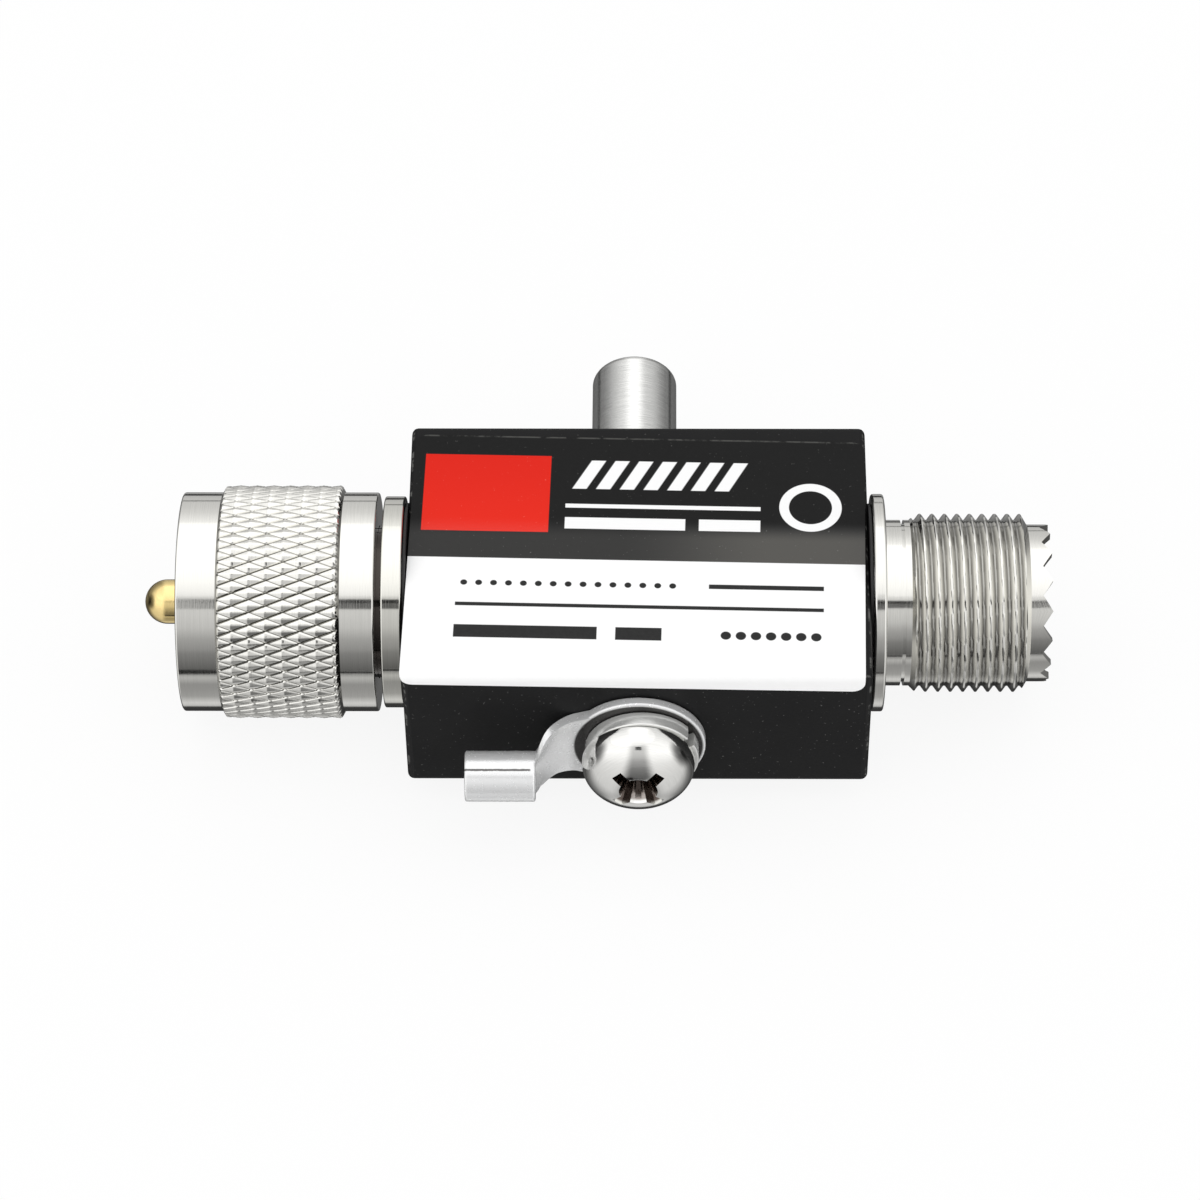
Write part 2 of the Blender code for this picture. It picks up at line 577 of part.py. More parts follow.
def make_socket_shell():
    edge = min(FLANGE_EDGE_RADIUS, SOCKET_FLANGE_THICKNESS / 3)
    start = FLANGE_PLACE - SEAT_GAP - GASKET_THICKNESS - SEAT_GAP - SPIGOT_LENGTH
    points = filleted([
        (start, LINE_BORE_RADIUS),
        (start, SPIGOT_RADIUS),
        (FLANGE_PLACE, SPIGOT_RADIUS),
        (FLANGE_PLACE, SOCKET_FLANGE_RADIUS, edge),
        (SOCKET_NECK_START, SOCKET_FLANGE_RADIUS, edge),
        (SOCKET_NECK_START, SOCKET_NECK_RADIUS),
        (SOCKET_GROOVE_START, SOCKET_NECK_RADIUS),
        (SOCKET_GROOVE_START, SOCKET_GROOVE_RADIUS),
        (SOCKET_RIB_START, SOCKET_GROOVE_RADIUS),
        (SOCKET_RIB_START, SOCKET_NECK_RADIUS),
        (SOCKET_THREAD_START, SOCKET_NECK_RADIUS),
        *socket_thread(),
        (SOCKET_COLLAR_START, SOCKET_COLLAR_RADIUS),
        (TOOTH_TIPS, SOCKET_COLLAR_RADIUS),
        (TOOTH_TIPS, SOCKET_BORE_RADIUS),
        (SOCKET_BORE_END, SOCKET_BORE_RADIUS),
        (SOCKET_BORE_END, LINE_BORE_RADIUS),
    ], steps=2)
    bm = spun(points, SHELL_SEGMENTS, closed=True)
    toothed(bm, TOOTH_TIPS, TOOTH_DEPTH, -1)
    put("socket_shell", bm, materials["nickel"])


def make_socket_contact():
    tail_end = CONTACT_BACK - TAIL_LENGTH
    bore_end = CONTACT_FRONT - CONTACT_BORE_DEPTH
    points = [
        (tail_end, 0),
        (tail_end, TAIL_RADIUS),
        (CONTACT_BACK, TAIL_RADIUS),
        (CONTACT_BACK, CONTACT_RADIUS),
        (CONTACT_FRONT, CONTACT_RADIUS),
        (CONTACT_FRONT, CONTACT_BORE_RADIUS),
        (bore_end, CONTACT_BORE_RADIUS),
        (bore_end, 0),
    ]
    contact = put("socket_contact", spun(points, SMALL_SEGMENTS, closed=False), materials["gold_plate"])
    half = CONTACT_SLOT_WIDTH / 2
    reach = CONTACT_RADIUS + SPARE
    slot_start = CONTACT_FRONT - CONTACT_SLOT_LENGTH
    slot_end = CONTACT_FRONT + SPARE
    upright = box((slot_start, -half, -reach), (slot_end, half, reach))
    level = box((slot_start, -reach, -half), (slot_end, reach, half))
    combine(contact, cutter("upright_slot", upright), "DIFFERENCE")
    combine(contact, cutter("level_slot", level), "DIFFERENCE")


def make_gas_tube(line):
    tip_length = (CERAMIC_LENGTH - SPARK_GAP) / 2 + SEAT_GAP
    inner_face = TUBE_START + ELECTRODE_THICKNESS
    inner = [
        (TUBE_START, 0),
        (TUBE_START, TUBE_RADIUS),
        (inner_face, TUBE_RADIUS),
        (inner_face, ELECTRODE_TIP_RADIUS),
        (inner_face + tip_length, ELECTRODE_TIP_RADIUS),
        (inner_face + tip_length, 0),
    ]
    outer_end = OUTER_ELECTRODE_START + ELECTRODE_THICKNESS
    outer = [
        (OUTER_ELECTRODE_START - tip_length, 0),
        (OUTER_ELECTRODE_START - tip_length, ELECTRODE_TIP_RADIUS),
        (OUTER_ELECTRODE_START, ELECTRODE_TIP_RADIUS),
        (OUTER_ELECTRODE_START, TUBE_RADIUS),
        (outer_end, TUBE_RADIUS),
        (outer_end, 0),
    ]
    ceramic_end = CERAMIC_START + CERAMIC_LENGTH
    ceramic = [
        (CERAMIC_START, TUBE_BORE_RADIUS),
        (CERAMIC_START, TUBE_RADIUS),
        (ceramic_end, TUBE_RADIUS),
        (ceramic_end, TUBE_BORE_RADIUS),
    ]
    pieces = (
        ("gas_tube_inner_electrode", inner, False, "electrode_metal"),
        ("gas_tube_ceramic", ceramic, True, "ceramic"),
        ("gas_tube_outer_electrode", outer, False, "electrode_metal"),
    )
    for name, points, closed, finish in pieces:
        put(name, spun(points, SMALL_SEGMENTS, closed=closed), materials[finish], (0, 0, 0), parent=line)


def make_contact_spring(line):
    curve = bpy.data.curves.new("contact_spring", "CURVE")
    curve.dimensions = "3D"
    curve.bevel_depth = SPRING_WIRE_RADIUS
    curve.bevel_resolution = 1
    curve.use_fill_caps = True
    spline = curve.splines.new("POLY")
    count = round(SPRING_TURNS * SPRING_STEPS) + 1
    spline.points.add(count - 1)
    first = SPRING_START + SPRING_WIRE_RADIUS
    travel = SPRING_LENGTH - 2 * SPRING_WIRE_RADIUS
    for index in range(count):
        share = index / (count - 1)
        angle = math.tau * SPRING_TURNS * share
        spline.points[index].co = (
            first + travel * share,
            SPRING_MEAN_RADIUS * math.cos(angle),
            SPRING_MEAN_RADIUS * math.sin(angle),
            1,
        )
    curve.materials.append(materials["spring_steel"])
    spring = bpy.data.objects.new("contact_spring", curve)
    bpy.context.collection.objects.link(spring)
    spring.parent = line


def make_arrestor_cap(line):
    mouth = CAP_SEAT - CAP_THREAD_LENGTH
    end = BLOCK_DEPTH / 2 + CAP_REACH
    points = filleted([
        (mouth, CAP_BORE_RADIUS),
        (mouth, CAP_THREAD_RADIUS),
        (CAP_SEAT, CAP_THREAD_RADIUS),
        (CAP_SEAT, CAP_RADIUS),
        (end, CAP_RADIUS, min(CAP_END_RADIUS, CAP_RADIUS / 3)),
        (end, 0),
        (CAP_BORE_END, 0),
        (CAP_BORE_END, CAP_BORE_RADIUS),
    ])
    axis_edge = [index for index, point in enumerate(points) if point[1] == 0]
    # The profile runs from one point on the axis to the other, round the outside.
    points = points[axis_edge[1]:] + points[:axis_edge[1]]
    bm = spun(points, ROUND_SEGMENTS, closed=False)
    put("arrestor_cap", bm, materials["turned_nickel"], (0, 0, 0), parent=line)


def recess_arm():
    """One arm of the cross recess, tapering inwards from the head's crown."""
    bm = bmesh.new()
    top = HEAD_SEAT + HEAD_HEIGHT + SPARE
    bottom = HEAD_SEAT + HEAD_HEIGHT - RECESS_DEPTH
    spread = (1 - RECESS_TAPER) / RECESS_DEPTH
    rings = []
    for along in (bottom, top):
        share = RECESS_TAPER + spread * (along - bottom)
        reach = RECESS_REACH * share
        half = RECESS_WIDTH / 2 * share
        corners = ((-reach, -half), (reach, -half), (reach, half), (-reach, half))
        rings.append([bm.verts.new((along, across, up)) for across, up in corners])
    bm.faces.new(rings[0])
    bm.faces.new(rings[1])
    for index in range(4):
        after = (index + 1) % 4
        bm.faces.new((rings[0][index], rings[0][after], rings[1][after], rings[1][index]))
    bmesh.ops.recalc_face_normals(bm, faces=bm.faces)
    return bm


def make_ground_screw(line):
    tip = HEAD_SEAT - SCREW_LENGTH
    points = [
        (tip, 0),
        (tip, SCREW_RADIUS - SCREW_TIP_CHAMFER),
        (tip + SCREW_TIP_CHAMFER, SCREW_RADIUS),
        (HEAD_SEAT, SCREW_RADIUS),
        (HEAD_SEAT, HEAD_RADIUS),
    ]
    for step in range(CROWN_STEPS + 1):
        angle = math.pi / 2 * step / CROWN_STEPS
        rise = HEAD_RIM + (HEAD_HEIGHT - HEAD_RIM) * math.sin(angle)
        points.append((HEAD_SEAT + rise, HEAD_RADIUS * math.cos(angle) ** HEAD_FULLNESS))
    bm = spun(points, ROUND_SEGMENTS, closed=False)
    screw = put("ground_screw", bm, materials["nickel"], (0, 0, 0), parent=line)
    for name, turn in (("rising_arm", math.pi / 4), ("falling_arm", -math.pi / 4)):
        arm = cutter(name, recess_arm(), (0, 0, 0))
        arm.parent = line
        arm.rotation_euler = (turn, 0, 0)
        combine(screw, arm, "DIFFERENCE")


def make_lock_washer(line):
    bm = split_ring(
        WASHER_BACK,
        WASHER_BACK + WASHER_THICKNESS,
        WASHER_INNER_RADIUS,
        WASHER_OUTER_RADIUS,
        WASHER_SLOT,
        WASHER_SLOT_TURN,
    )
    bmesh.ops.translate(bm, verts=bm.verts, vec=(0, WASHER_SHIFT, 0))
    put("lock_washer", bm, materials["spring_steel"], (0, 0, 0), parent=line)


def sheet_section(along, front, width, curl):
    """A strip's cross-section, curled forwards about its middle line. front is its middle layer's place."""
    radius = width / curl
    half = LUG_THICKNESS / 2
    outer = []
    inner = []
    for step in range(LUG_SECTION_STEPS + 1):
        angle = curl * (step / LUG_SECTION_STEPS - 0.5)
        for rim, reach in ((outer, radius + half), (inner, radius - half)):
            rim.append((front + radius - reach * math.cos(angle), along, reach * math.sin(angle)))
    return outer + inner[::-1]


def make_ring_terminal(line):
    """One sheet: the ring lies on the block, the tongue slants forwards and curls up into the barrel."""
    back = LUG_BACK
    front = LUG_BACK + LUG_THICKNESS
    middle = (back + front) / 2
    ring = [
        (back, LUG_HOLE_RADIUS),
        (back, LUG_RING_RADIUS),
        (front, LUG_RING_RADIUS),
        (front, LUG_HOLE_RADIUS),
    ]
    ring_bm = spun(ring, ROUND_SEGMENTS, closed=True)
    lug = put("ring_terminal", ring_bm, materials["tin_plate"], (0, 0, 0), parent=line)

    barrel_wall = LUG_BARREL_RADIUS - LUG_THICKNESS / 2
    start_width = LUG_CURL * barrel_wall
    root = (LUG_HOLE_RADIUS + LUG_BEND) / 2
    sections = [sheet_section(-root, middle, LUG_ROOT_WIDTH, LUG_ROOT_CURL)]
    for step in range(LUG_LOFT_STEPS + 1):
        share = step / LUG_LOFT_STEPS
        smooth = share * share * (3 - 2 * share)
        width = LUG_ROOT_WIDTH + (LUG_WAIST_WIDTH - LUG_ROOT_WIDTH) * min(1, 2 * share)
        if share > 0.5:
            width = LUG_WAIST_WIDTH + (start_width - LUG_WAIST_WIDTH) * (2 * share - 1)
        along = -(LUG_BEND + (LUG_BARREL_START - LUG_BEND) * share)
        curl = LUG_ROOT_CURL + (LUG_CURL - LUG_ROOT_CURL) * share ** LUG_CURL_GROWTH
        sections.append(sheet_section(along, middle + LUG_RISE * smooth, width, curl))
    joint_end = -LUG_BARREL_START - LUG_JOINT_LENGTH
    sections.append(sheet_section(joint_end, middle + LUG_RISE, start_width, LUG_CURL))
    bm = bmesh.new()
    rows = [[bm.verts.new(point) for point in section] for section in sections]
    for near, far in zip(rows, rows[1:]):
        for index in range(len(near)):
            after = (index + 1) % len(near)
            bm.faces.new((near[index], near[after], far[after], far[index]))
    for row in (rows[0], rows[-1]):
        for index in range(LUG_SECTION_STEPS):
            bm.faces.new((row[index], row[index + 1], row[-2 - index], row[-1 - index]))
    bmesh.ops.recalc_face_normals(bm, faces=bm.faces)
    tongue = cutter("tongue", bm, (0, 0, 0))
    tongue.parent = line

    bore = LUG_BARREL_RADIUS - LUG_THICKNESS
    barrel_end = -LUG_BARREL_START - LUG_BARREL_LENGTH
    tube = [
        (-LUG_BARREL_START, bore),
        (-LUG_BARREL_START, LUG_BARREL_RADIUS),
        (barrel_end, LUG_BARREL_RADIUS),
        (barrel_end, bore),
    ]
    tube_bm = spun(tube, SMALL_SEGMENTS, closed=True)
    barrel = cutter("barrel", tube_bm, (middle + LUG_RISE + barrel_wall, 0, 0), math.pi / 2)
    barrel.parent = line
    combine(lug, tongue, "UNION")
    combine(lug, barrel, "UNION")


def axis_at(name, place, heading):
    """An empty on a cross axis, whose own X axis points outwards."""
    empty = bpy.data.objects.new(name, None)
    bpy.context.collection.objects.link(empty)
    empty.location = place
    empty.rotation_euler = (0, 0, heading)
    return empty


clear_scene()
materials = {
    "black_paint": material("black_paint", (0.012, 0.012, 0.012), 0.45, 0.0),
    "label_print": material("label_print", (0.70, 0.70, 0.69), 0.40, 0.0),
    "black_rubber": material("black_rubber", (0.010, 0.010, 0.010), 0.60, 0.0),
    "nickel": material("nickel", (0.70, 0.69, 0.67), 0.16, 1.0),
    "knurled_nickel": material("knurled_nickel", (0.68, 0.67, 0.65), 0.20, 1.0),
    "turned_nickel": material("turned_nickel", (0.62, 0.62, 0.60), 0.32, 1.0),
    "tin_plate": material("tin_plate", (0.66, 0.67, 0.67), 0.28, 1.0),
    "spring_steel": material("spring_steel", (0.60, 0.60, 0.58), 0.25, 1.0),
    "gold_plate": material("gold_plate", (0.78, 0.56, 0.22), 0.18, 1.0),
    "brass": material("brass", (0.72, 0.55, 0.26), 0.25, 1.0),
    "electrode_metal": material("electrode_metal", (0.58, 0.57, 0.55), 0.30, 1.0),
    "ceramic": material("ceramic", (0.80, 0.79, 0.76), 0.35, 0.0),
    "ptfe": material("ptfe", (0.80, 0.80, 0.78), 0.50, 0.0),
    "cutter": material("cutter", (0.5, 0.5, 0.5), 0.5, 0.0),
}
cap_line = axis_at("cap_line", (CAP_OFFSET, 0, LINE_HEIGHT), math.pi / 2)
screw_line = axis_at("screw_line", (SCREW_OFFSET, -BLOCK_DEPTH / 2, SCREW_HEIGHT), -math.pi / 2)
make_block()
make_label()
make_gaskets()
make_plug_shell()
make_coupling_ring()
make_retaining_ring()
make_plug_pin()
make_insulators()
make_line_conductor()
make_socket_shell()
make_socket_contact()
make_gas_tube(cap_line)
make_contact_spring(cap_line)
make_arrestor_cap(cap_line)
make_ground_screw(screw_line)
make_lock_washer(screw_line)
make_ring_terminal(screw_line)
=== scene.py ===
import math
import bmesh
import bpy
from mathutils import Matrix, Vector


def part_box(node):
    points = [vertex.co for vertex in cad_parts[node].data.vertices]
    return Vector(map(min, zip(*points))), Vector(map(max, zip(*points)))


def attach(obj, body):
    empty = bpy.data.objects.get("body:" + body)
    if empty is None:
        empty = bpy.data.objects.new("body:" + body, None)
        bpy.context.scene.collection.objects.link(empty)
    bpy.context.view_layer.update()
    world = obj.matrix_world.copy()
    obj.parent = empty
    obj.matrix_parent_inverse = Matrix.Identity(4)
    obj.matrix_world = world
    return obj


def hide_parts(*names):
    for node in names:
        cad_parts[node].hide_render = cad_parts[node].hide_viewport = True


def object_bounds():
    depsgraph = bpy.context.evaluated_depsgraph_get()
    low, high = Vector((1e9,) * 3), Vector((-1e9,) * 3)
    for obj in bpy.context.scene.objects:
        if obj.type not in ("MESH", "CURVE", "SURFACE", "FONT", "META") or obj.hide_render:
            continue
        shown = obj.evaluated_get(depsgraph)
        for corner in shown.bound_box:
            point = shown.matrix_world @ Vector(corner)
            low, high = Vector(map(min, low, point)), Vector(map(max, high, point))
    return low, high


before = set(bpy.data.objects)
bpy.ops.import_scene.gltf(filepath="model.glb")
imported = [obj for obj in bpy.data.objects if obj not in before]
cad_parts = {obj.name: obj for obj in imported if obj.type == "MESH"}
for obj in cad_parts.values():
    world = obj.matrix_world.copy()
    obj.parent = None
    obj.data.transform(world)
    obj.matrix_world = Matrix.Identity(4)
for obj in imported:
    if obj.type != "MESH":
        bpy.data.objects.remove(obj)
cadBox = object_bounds()
mm = 0.001
fullTurn = math.tau

# Pieces are made in millimetres about an axis that runs along X, then set in place
blockLow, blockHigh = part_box("housing")
capLow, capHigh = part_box("arrestor_cap")
screwLow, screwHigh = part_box("ground_screw")
blockLength = (blockHigh.x - blockLow.x) / mm
blockDepth = (blockHigh.y - blockLow.y) / mm
blockHeight = (blockHigh.z - blockLow.z) / mm
lineHeight = (blockLow.z + blockHigh.z) / 2
lineFrame = Matrix.Translation((0, 0, lineHeight))
capFrame = Matrix.Translation(
    ((capLow.x + capHigh.x) / 2, 0, lineHeight)
) @ Matrix.Rotation(math.pi / 2, 4, "Z")
screwFrame = Matrix.Translation(
    ((screwLow.x + screwHigh.x) / 2, blockLow.y, (screwLow.z + screwHigh.z) / 2)
) @ Matrix.Rotation(-math.pi / 2, 4, "Z")


class Wire:
    # a socket's value, which can stand in sums; each sum adds its Math node
    def __init__(self, tree, socket):
        self.tree = tree
        self.socket = socket

    def __add__(self, other):
        return self.tree.calc("ADD", self, other)

    def __radd__(self, other):
        return self.tree.calc("ADD", other, self)

    def __sub__(self, other):
        return self.tree.calc("SUBTRACT", self, other)

    def __rsub__(self, other):
        return self.tree.calc("SUBTRACT", other, self)

    def __mul__(self, other):
        return self.tree.calc("MULTIPLY", self, other)

    def __rmul__(self, other):
        return self.tree.calc("MULTIPLY", other, self)

    def __truediv__(self, other):
        return self.tree.calc("DIVIDE", self, other)

    def __rtruediv__(self, other):
        return self.tree.calc("DIVIDE", other, self)

    def __abs__(self):
        return self.tree.calc("ABSOLUTE", self)


class Tree:
    def __init__(self, nodeTree):
        self.nodeTree = nodeTree

    # settings are set first; out is the number of the output wanted, or several
    def add(self, kind, settings, sockets, out=0):
        node = self.nodeTree.nodes.new(kind)
        for key, value in settings.items():
            if key == "stops":
                ramp = node.color_ramp
                while len(ramp.elements) < len(value):
                    ramp.elements.new(1)
                for element, (place, colour) in zip(ramp.elements, value):
                    element.position = place
                    element.color = colour if isinstance(colour, tuple) else (colour, colour, colour, 1)
            else:
                setattr(node, key, value)
        for key, value in sockets.items():
            if isinstance(value, Wire):
                self.nodeTree.links.new(value.socket, node.inputs[key])
            else:
                node.inputs[key].default_value = value
        if isinstance(out, tuple):
            return [Wire(self, node.outputs[number]) for number in out]
        return Wire(self, node.outputs[out])

    def calc(self, operation, *values):
        return self.add("ShaderNodeMath", {"operation": operation}, dict(enumerate(values)))

    def split(self, vector):
        return self.add("ShaderNodeSeparateXYZ", {}, {0: vector}, out=(0, 1, 2))

    def blend(self, factor, first, second):
        return self.add("ShaderNodeMix", {"data_type": "RGBA"}, {0: factor, 6: first, 7: second}, out=2)

    def length(self, across, up):
        return self.calc("SQRT", across * across + up * up)

    def largest(self, first, *others):
        for other in others:
            first = self.calc("MAXIMUM", first, other)
        return first

    # 1 between low and high, 0 elsewhere
    def between(self, value, low, high):
        return self.calc("GREATER_THAN", value, low) * self.calc("LESS_THAN", value, high)

    # 0 below low, 1 above high, a smooth step between
    def step(self, value, low, high):
        sockets = {0: value, 1: low, 2: high}
        return self.add("ShaderNodeMapRange", {"interpolation_type": "SMOOTHSTEP"}, sockets)

    # 1 between low and high, with soft edges of the given width
    def band(self, value, low, high, soft):
        return self.step(value, low - soft, low + soft) * (1 - self.step(value, high - soft, high + soft))


class Shaper(Tree):
    # a Geometry Nodes tree that shapes a turned piece; sizes are its named inputs
    def __init__(self, name, sizes):
        group = bpy.data.node_groups.new(name, "GeometryNodeTree")
        super().__init__(group)
        group.interface.new_socket("Geometry", in_out="OUTPUT", socket_type="NodeSocketGeometry")
        inputs = [("Geometry", "NodeSocketGeometry"), ("Material", "NodeSocketMaterial")]
        for key, kind in inputs + [(size, "NodeSocketFloat") for size in sizes]:
            group.interface.new_socket(key, in_out="INPUT", socket_type=kind)
        given = group.nodes.new("NodeGroupInput")
        self.output = group.nodes.new("NodeGroupOutput")
        self.geometry = Wire(self, given.outputs["Geometry"])
        self.material = Wire(self, given.outputs["Material"])
        self.sizes = [Wire(self, given.outputs[size]) for size in sizes]
        place = self.add("GeometryNodeInputPosition", {}, {})
        self.along, across, up = self.split(place)
        self.turn = self.calc("ARCTAN2", across, up)
        self.radius = self.length(across, up)

    # depth, from 0 to 1, is kept on the mesh for the material to read; the finishes with hollow shade paint
    # shade by it
    def close(self, along, radius, depth):
        across = radius * self.calc("SINE", self.turn)
        up = radius * self.calc("COSINE", self.turn)
        place = self.add("ShaderNodeCombineXYZ", {}, {0: along, 1: across, 2: up})
        moved = self.add("GeometryNodeSetPosition", {}, {"Geometry": self.geometry, "Position": place})
        before = self.add("GeometryNodeInputNamedAttribute", {"data_type": "FLOAT"}, {"Name": "depth"})
        kept = self.add(
            "GeometryNodeStoreNamedAttribute", {"data_type": "FLOAT", "domain": "POINT"},
            {"Geometry": moved, "Name": "depth", "Value": self.calc("MAXIMUM", before, depth)},
        )
        real = self.add("GeometryNodeRealizeInstances", {}, {0: kept})
        coated = self.add("GeometryNodeSetMaterial", {}, {"Geometry": real, "Material": self.material})
        self.nodeTree.links.new(coated.socket, self.output.inputs[0])


def shape(piece, shaper, finishName, sizes):
    modifier = piece.modifiers.new(shaper.nodeTree.name, "NODES")
    modifier.node_group = shaper.nodeTree
    given = {"Material": finishes[finishName], **sizes}
    for item in shaper.nodeTree.interface.items_tree:
        if item.in_out == "INPUT" and item.name in given:
            modifier[item.identifier] = given[item.name]


def threadTree():
    tree = Shaper("screw thread", ["Start", "End", "Pitch", "Edge", "Depth", "Flat", "Side"])
    start, end, pitch, edge, depth, flat, side = tree.sizes
    phase = tree.calc("FRACT", (tree.along - start) / pitch + tree.turn / fullTurn + 8)
    # flat is the share of half a turn that the crest and the root each take
    height = tree.add("ShaderNodeClamp", {}, {0: (abs(phase * 2 - 1) - flat) / (1 - flat * 2)})
    limit = edge - side * depth * (1 - height)
    cut = side * tree.calc("MINIMUM", side * tree.radius, side * limit)
    near = tree.calc("LESS_THAN", abs(tree.radius - edge), depth + 0.01)
    within = tree.between(tree.along, start, end) * near
    tree.close(tree.along, tree.radius + (cut - tree.radius) * within, (1 - height) * within)
    return tree


def knurlTree():
    tree = Shaper(
        "diamond knurl", ["Start", "End", "Radius", "Count", "Slope", "Depth", "Groove", "Fine groove"]
    )
    start, end, radius, count, slope, depth, groove, fine = tree.sizes
    around = tree.turn * count / fullTurn
    slant = (tree.along - start) * slope * count / (radius * fullTurn)
    # how far a point is from the next rising and falling groove; 200 keeps the sum above 0
    rising = 0.5 - abs(tree.calc("FRACT", around - slant + 200) - 0.5)
    falling = 0.5 - abs(tree.calc("FRACT", around + slant + 200) - 0.5)
    # each diamond is a low pyramid; the rising grooves are cut deeper than the falling ones
    deep = tree.calc("MINIMUM", rising / groove * 0.5, 0.5 + (rising - groove))
    shallow = tree.calc("MINIMUM", 0.3 + falling / fine * 0.2, 0.5 + (falling - fine))
    height = tree.calc("MINIMUM", tree.calc("MINIMUM", deep, shallow) / (1 - groove), 1)
    limit = radius - depth * (1 - height)
    outer = tree.calc("GREATER_THAN", tree.radius, radius - depth * 3)
    within = tree.between(tree.along, start, end) * outer
    cut = tree.calc("MINIMUM", tree.radius, limit)
    # the feet of the two chamfers get the same painted shade as a groove
    footShade = tree.between(radius - tree.radius, 0.2, 0.7) * tree.between(tree.along, start - 0.01, end + 0.01)
    paintedShade = tree.largest((1 - height) * within, footShade)
    tree.close(tree.along, tree.radius + (cut - tree.radius) * within, paintedShade)
    return tree


def teethTree():
    tree = Shaper("locating teeth", ["End", "Depth", "Count", "Inward"])
    end, depth, count, inward = tree.sizes
    share = tree.calc("FRACT", tree.turn * count / fullTurn + 8)
    notch = 1 - abs(share * 2 - 1)
    onRim = tree.calc("LESS_THAN", abs(tree.along - end), 0.001)
    tree.close(tree.along + inward * depth * notch * onRim, tree.radius, notch * onRim)
    return tree


class Finish(Tree):
    # a material; what varies is wired, what is the same all over is set on the shader
    def __init__(self, name, **constants):
        self.material = bpy.data.materials.new(name)
        self.material.use_nodes = True
        super().__init__(self.material.node_tree)
        self.shader = self.nodeTree.nodes["Principled BSDF"]
        for key, value in constants.items():
            self.shader.inputs[key.replace("_", " ")].default_value = value
        self.place = self.add("ShaderNodeTexCoord", {}, {}, out=3)
        self.flat = self.add("ShaderNodeTexCoord", {}, {}, out=2)

    def feed(self, socket, wire):
        self.nodeTree.links.new(wire.socket, self.shader.inputs[socket])

    def noise(self, scale, detail=2, roughness=0.5, vector=None):
        sockets = {"Vector": vector or self.place, "Scale": scale, "Detail": detail, "Roughness": roughness}
        return self.add("ShaderNodeTexNoise", {}, sockets)

    def stretch(self, vector, x, y, z):
        return self.add("ShaderNodeMapping", {}, {"Vector": vector, "Scale": (x, y, z)})

    def bump(self, height, distance):
        sockets = {"Strength": 1.0, "Distance": distance, "Height": height}
        self.feed("Normal", self.add("ShaderNodeBump", {}, sockets))


def rgb(red, green, blue):
    return (red, green, blue, 1)


def grey(tone):
    return rgb(tone, tone, tone)


def blackPaint(halfLength, halfDepth, height):
    paint = Finish("blackPaint", Specular_IOR_Level=0.1)
    x, y, z = paint.split(paint.place)
    sideX = halfLength - abs(x)
    sideY = halfDepth - abs(y)
    sideZ = height / 2 - abs(z - height / 2)
    # a point lies on an edge where it is near to two sides, so the second nearest counts
    nearer = paint.calc("MINIMUM", sideX, sideY)
    farther = paint.largest(sideX, sideY)
    second = paint.largest(nearer, paint.calc("MINIMUM", farther, sideZ))
    edge = 1 - paint.step(second, 0.08 * mm, 0.35 * mm)
    worn = paint.step(paint.noise(900, 4, 0.7), 0.50, 0.62)
    dust = paint.step(paint.noise(3600, 2, 0.6), 0.70, 0.74)
    cloud = paint.noise(160, 3)
    base = paint.blend(cloud, rgb(0.0085, 0.0085, 0.0088), rgb(0.014, 0.014, 0.0143))
    specked = paint.blend(dust * 0.5, base, rgb(0.18, 0.18, 0.175))
    paint.feed("Base Color", paint.blend(edge * worn * 0.7, specked, rgb(0.30, 0.30, 0.285)))
    paint.feed("Roughness", 0.40 + 0.12 * paint.noise(700, 3))
    paint.bump(paint.noise(3800, 3), 0.00001)
    return paint.material


screwSizes = {
    "seat": 2.45, "length": 8.9, "shank": 2.45, "tipChamfer": 0.4, "head": 4.9, "headChamfer": 0.15,
    "rim": 0.45, "height": 3.6, "fullness": 0.9, "crownSteps": 24, "reach": 2.95, "width": 1.15,
    "depth": 2.5, "taper": 0.5, "pit": 1.75, "pitFloor": 0.7, "recessShadeReach": (3.3, 3.6), "pitch": 0.8,
    "threadDepth": 0.42, "flat": 0.12, "segments": 144,
}


# Turned and plated metal; streak is how strongly the turning marks show, shade how dark the painted shade in
# the hollows is, and a given mask paints more shade in its own colour
def platedMetal(name, colour, rough, streak, paintedShade=0.0, hollowStart=0.3, metallic=1.0, shadeMask=None,
                shadeMaskColour=(0.035, 0.028, 0.025)):
    metal = Finish(name, Metallic=metallic)
    marks = metal.noise(1.0, 4, 0.65, metal.stretch(metal.flat, 22, 0.3, 1))
    cloud = metal.noise(260, 3)
    dark = tuple(part * (0.93 - streak * 0.25) for part in colour)
    tone = metal.blend(metal.step(marks, 0.30, 0.70), rgb(*dark), rgb(*colour))
    # painted shade: the hollows grow darker the deeper they are, by the depth kept on the mesh
    if paintedShade:
        depth = metal.add("ShaderNodeAttribute", {"attribute_name": "depth"}, {}, out=2)
        hollowShade = metal.step(depth, hollowStart, 1.0) * paintedShade
        hollowShadeTone = rgb(colour[0] * 0.14, colour[1] * 0.135, colour[2] * 0.125)
        tone = metal.blend(hollowShade, tone, hollowShadeTone)
    # the given mask paints shade in its own colour
    if shadeMask:
        tone = metal.blend(shadeMask(metal), tone, rgb(*shadeMaskColour))
    metal.feed("Base Color", tone)
    metal.feed("Roughness", rough + rough * 0.5 * (cloud - 0.5) + streak * 0.2 * (marks - 0.5))
    waves = metal.noise(1.0, 3, 0.6, metal.stretch(metal.flat, 9, 0.7, 1))
    metal.bump(marks * streak + waves * 0.35, 0.000006)
    return metal.material


# Painted shade in the narrow gap between the coupling ring and the plug's flange
def neckGapShade(metal):
    x, y, z = metal.split(metal.place)
    radius = metal.length(y, z - lineHeight)
    return (1 - metal.step(radius, 7.8 * mm, 8.8 * mm)) * metal.step(x, -26.2 * mm, -25.9 * mm) * 0.97
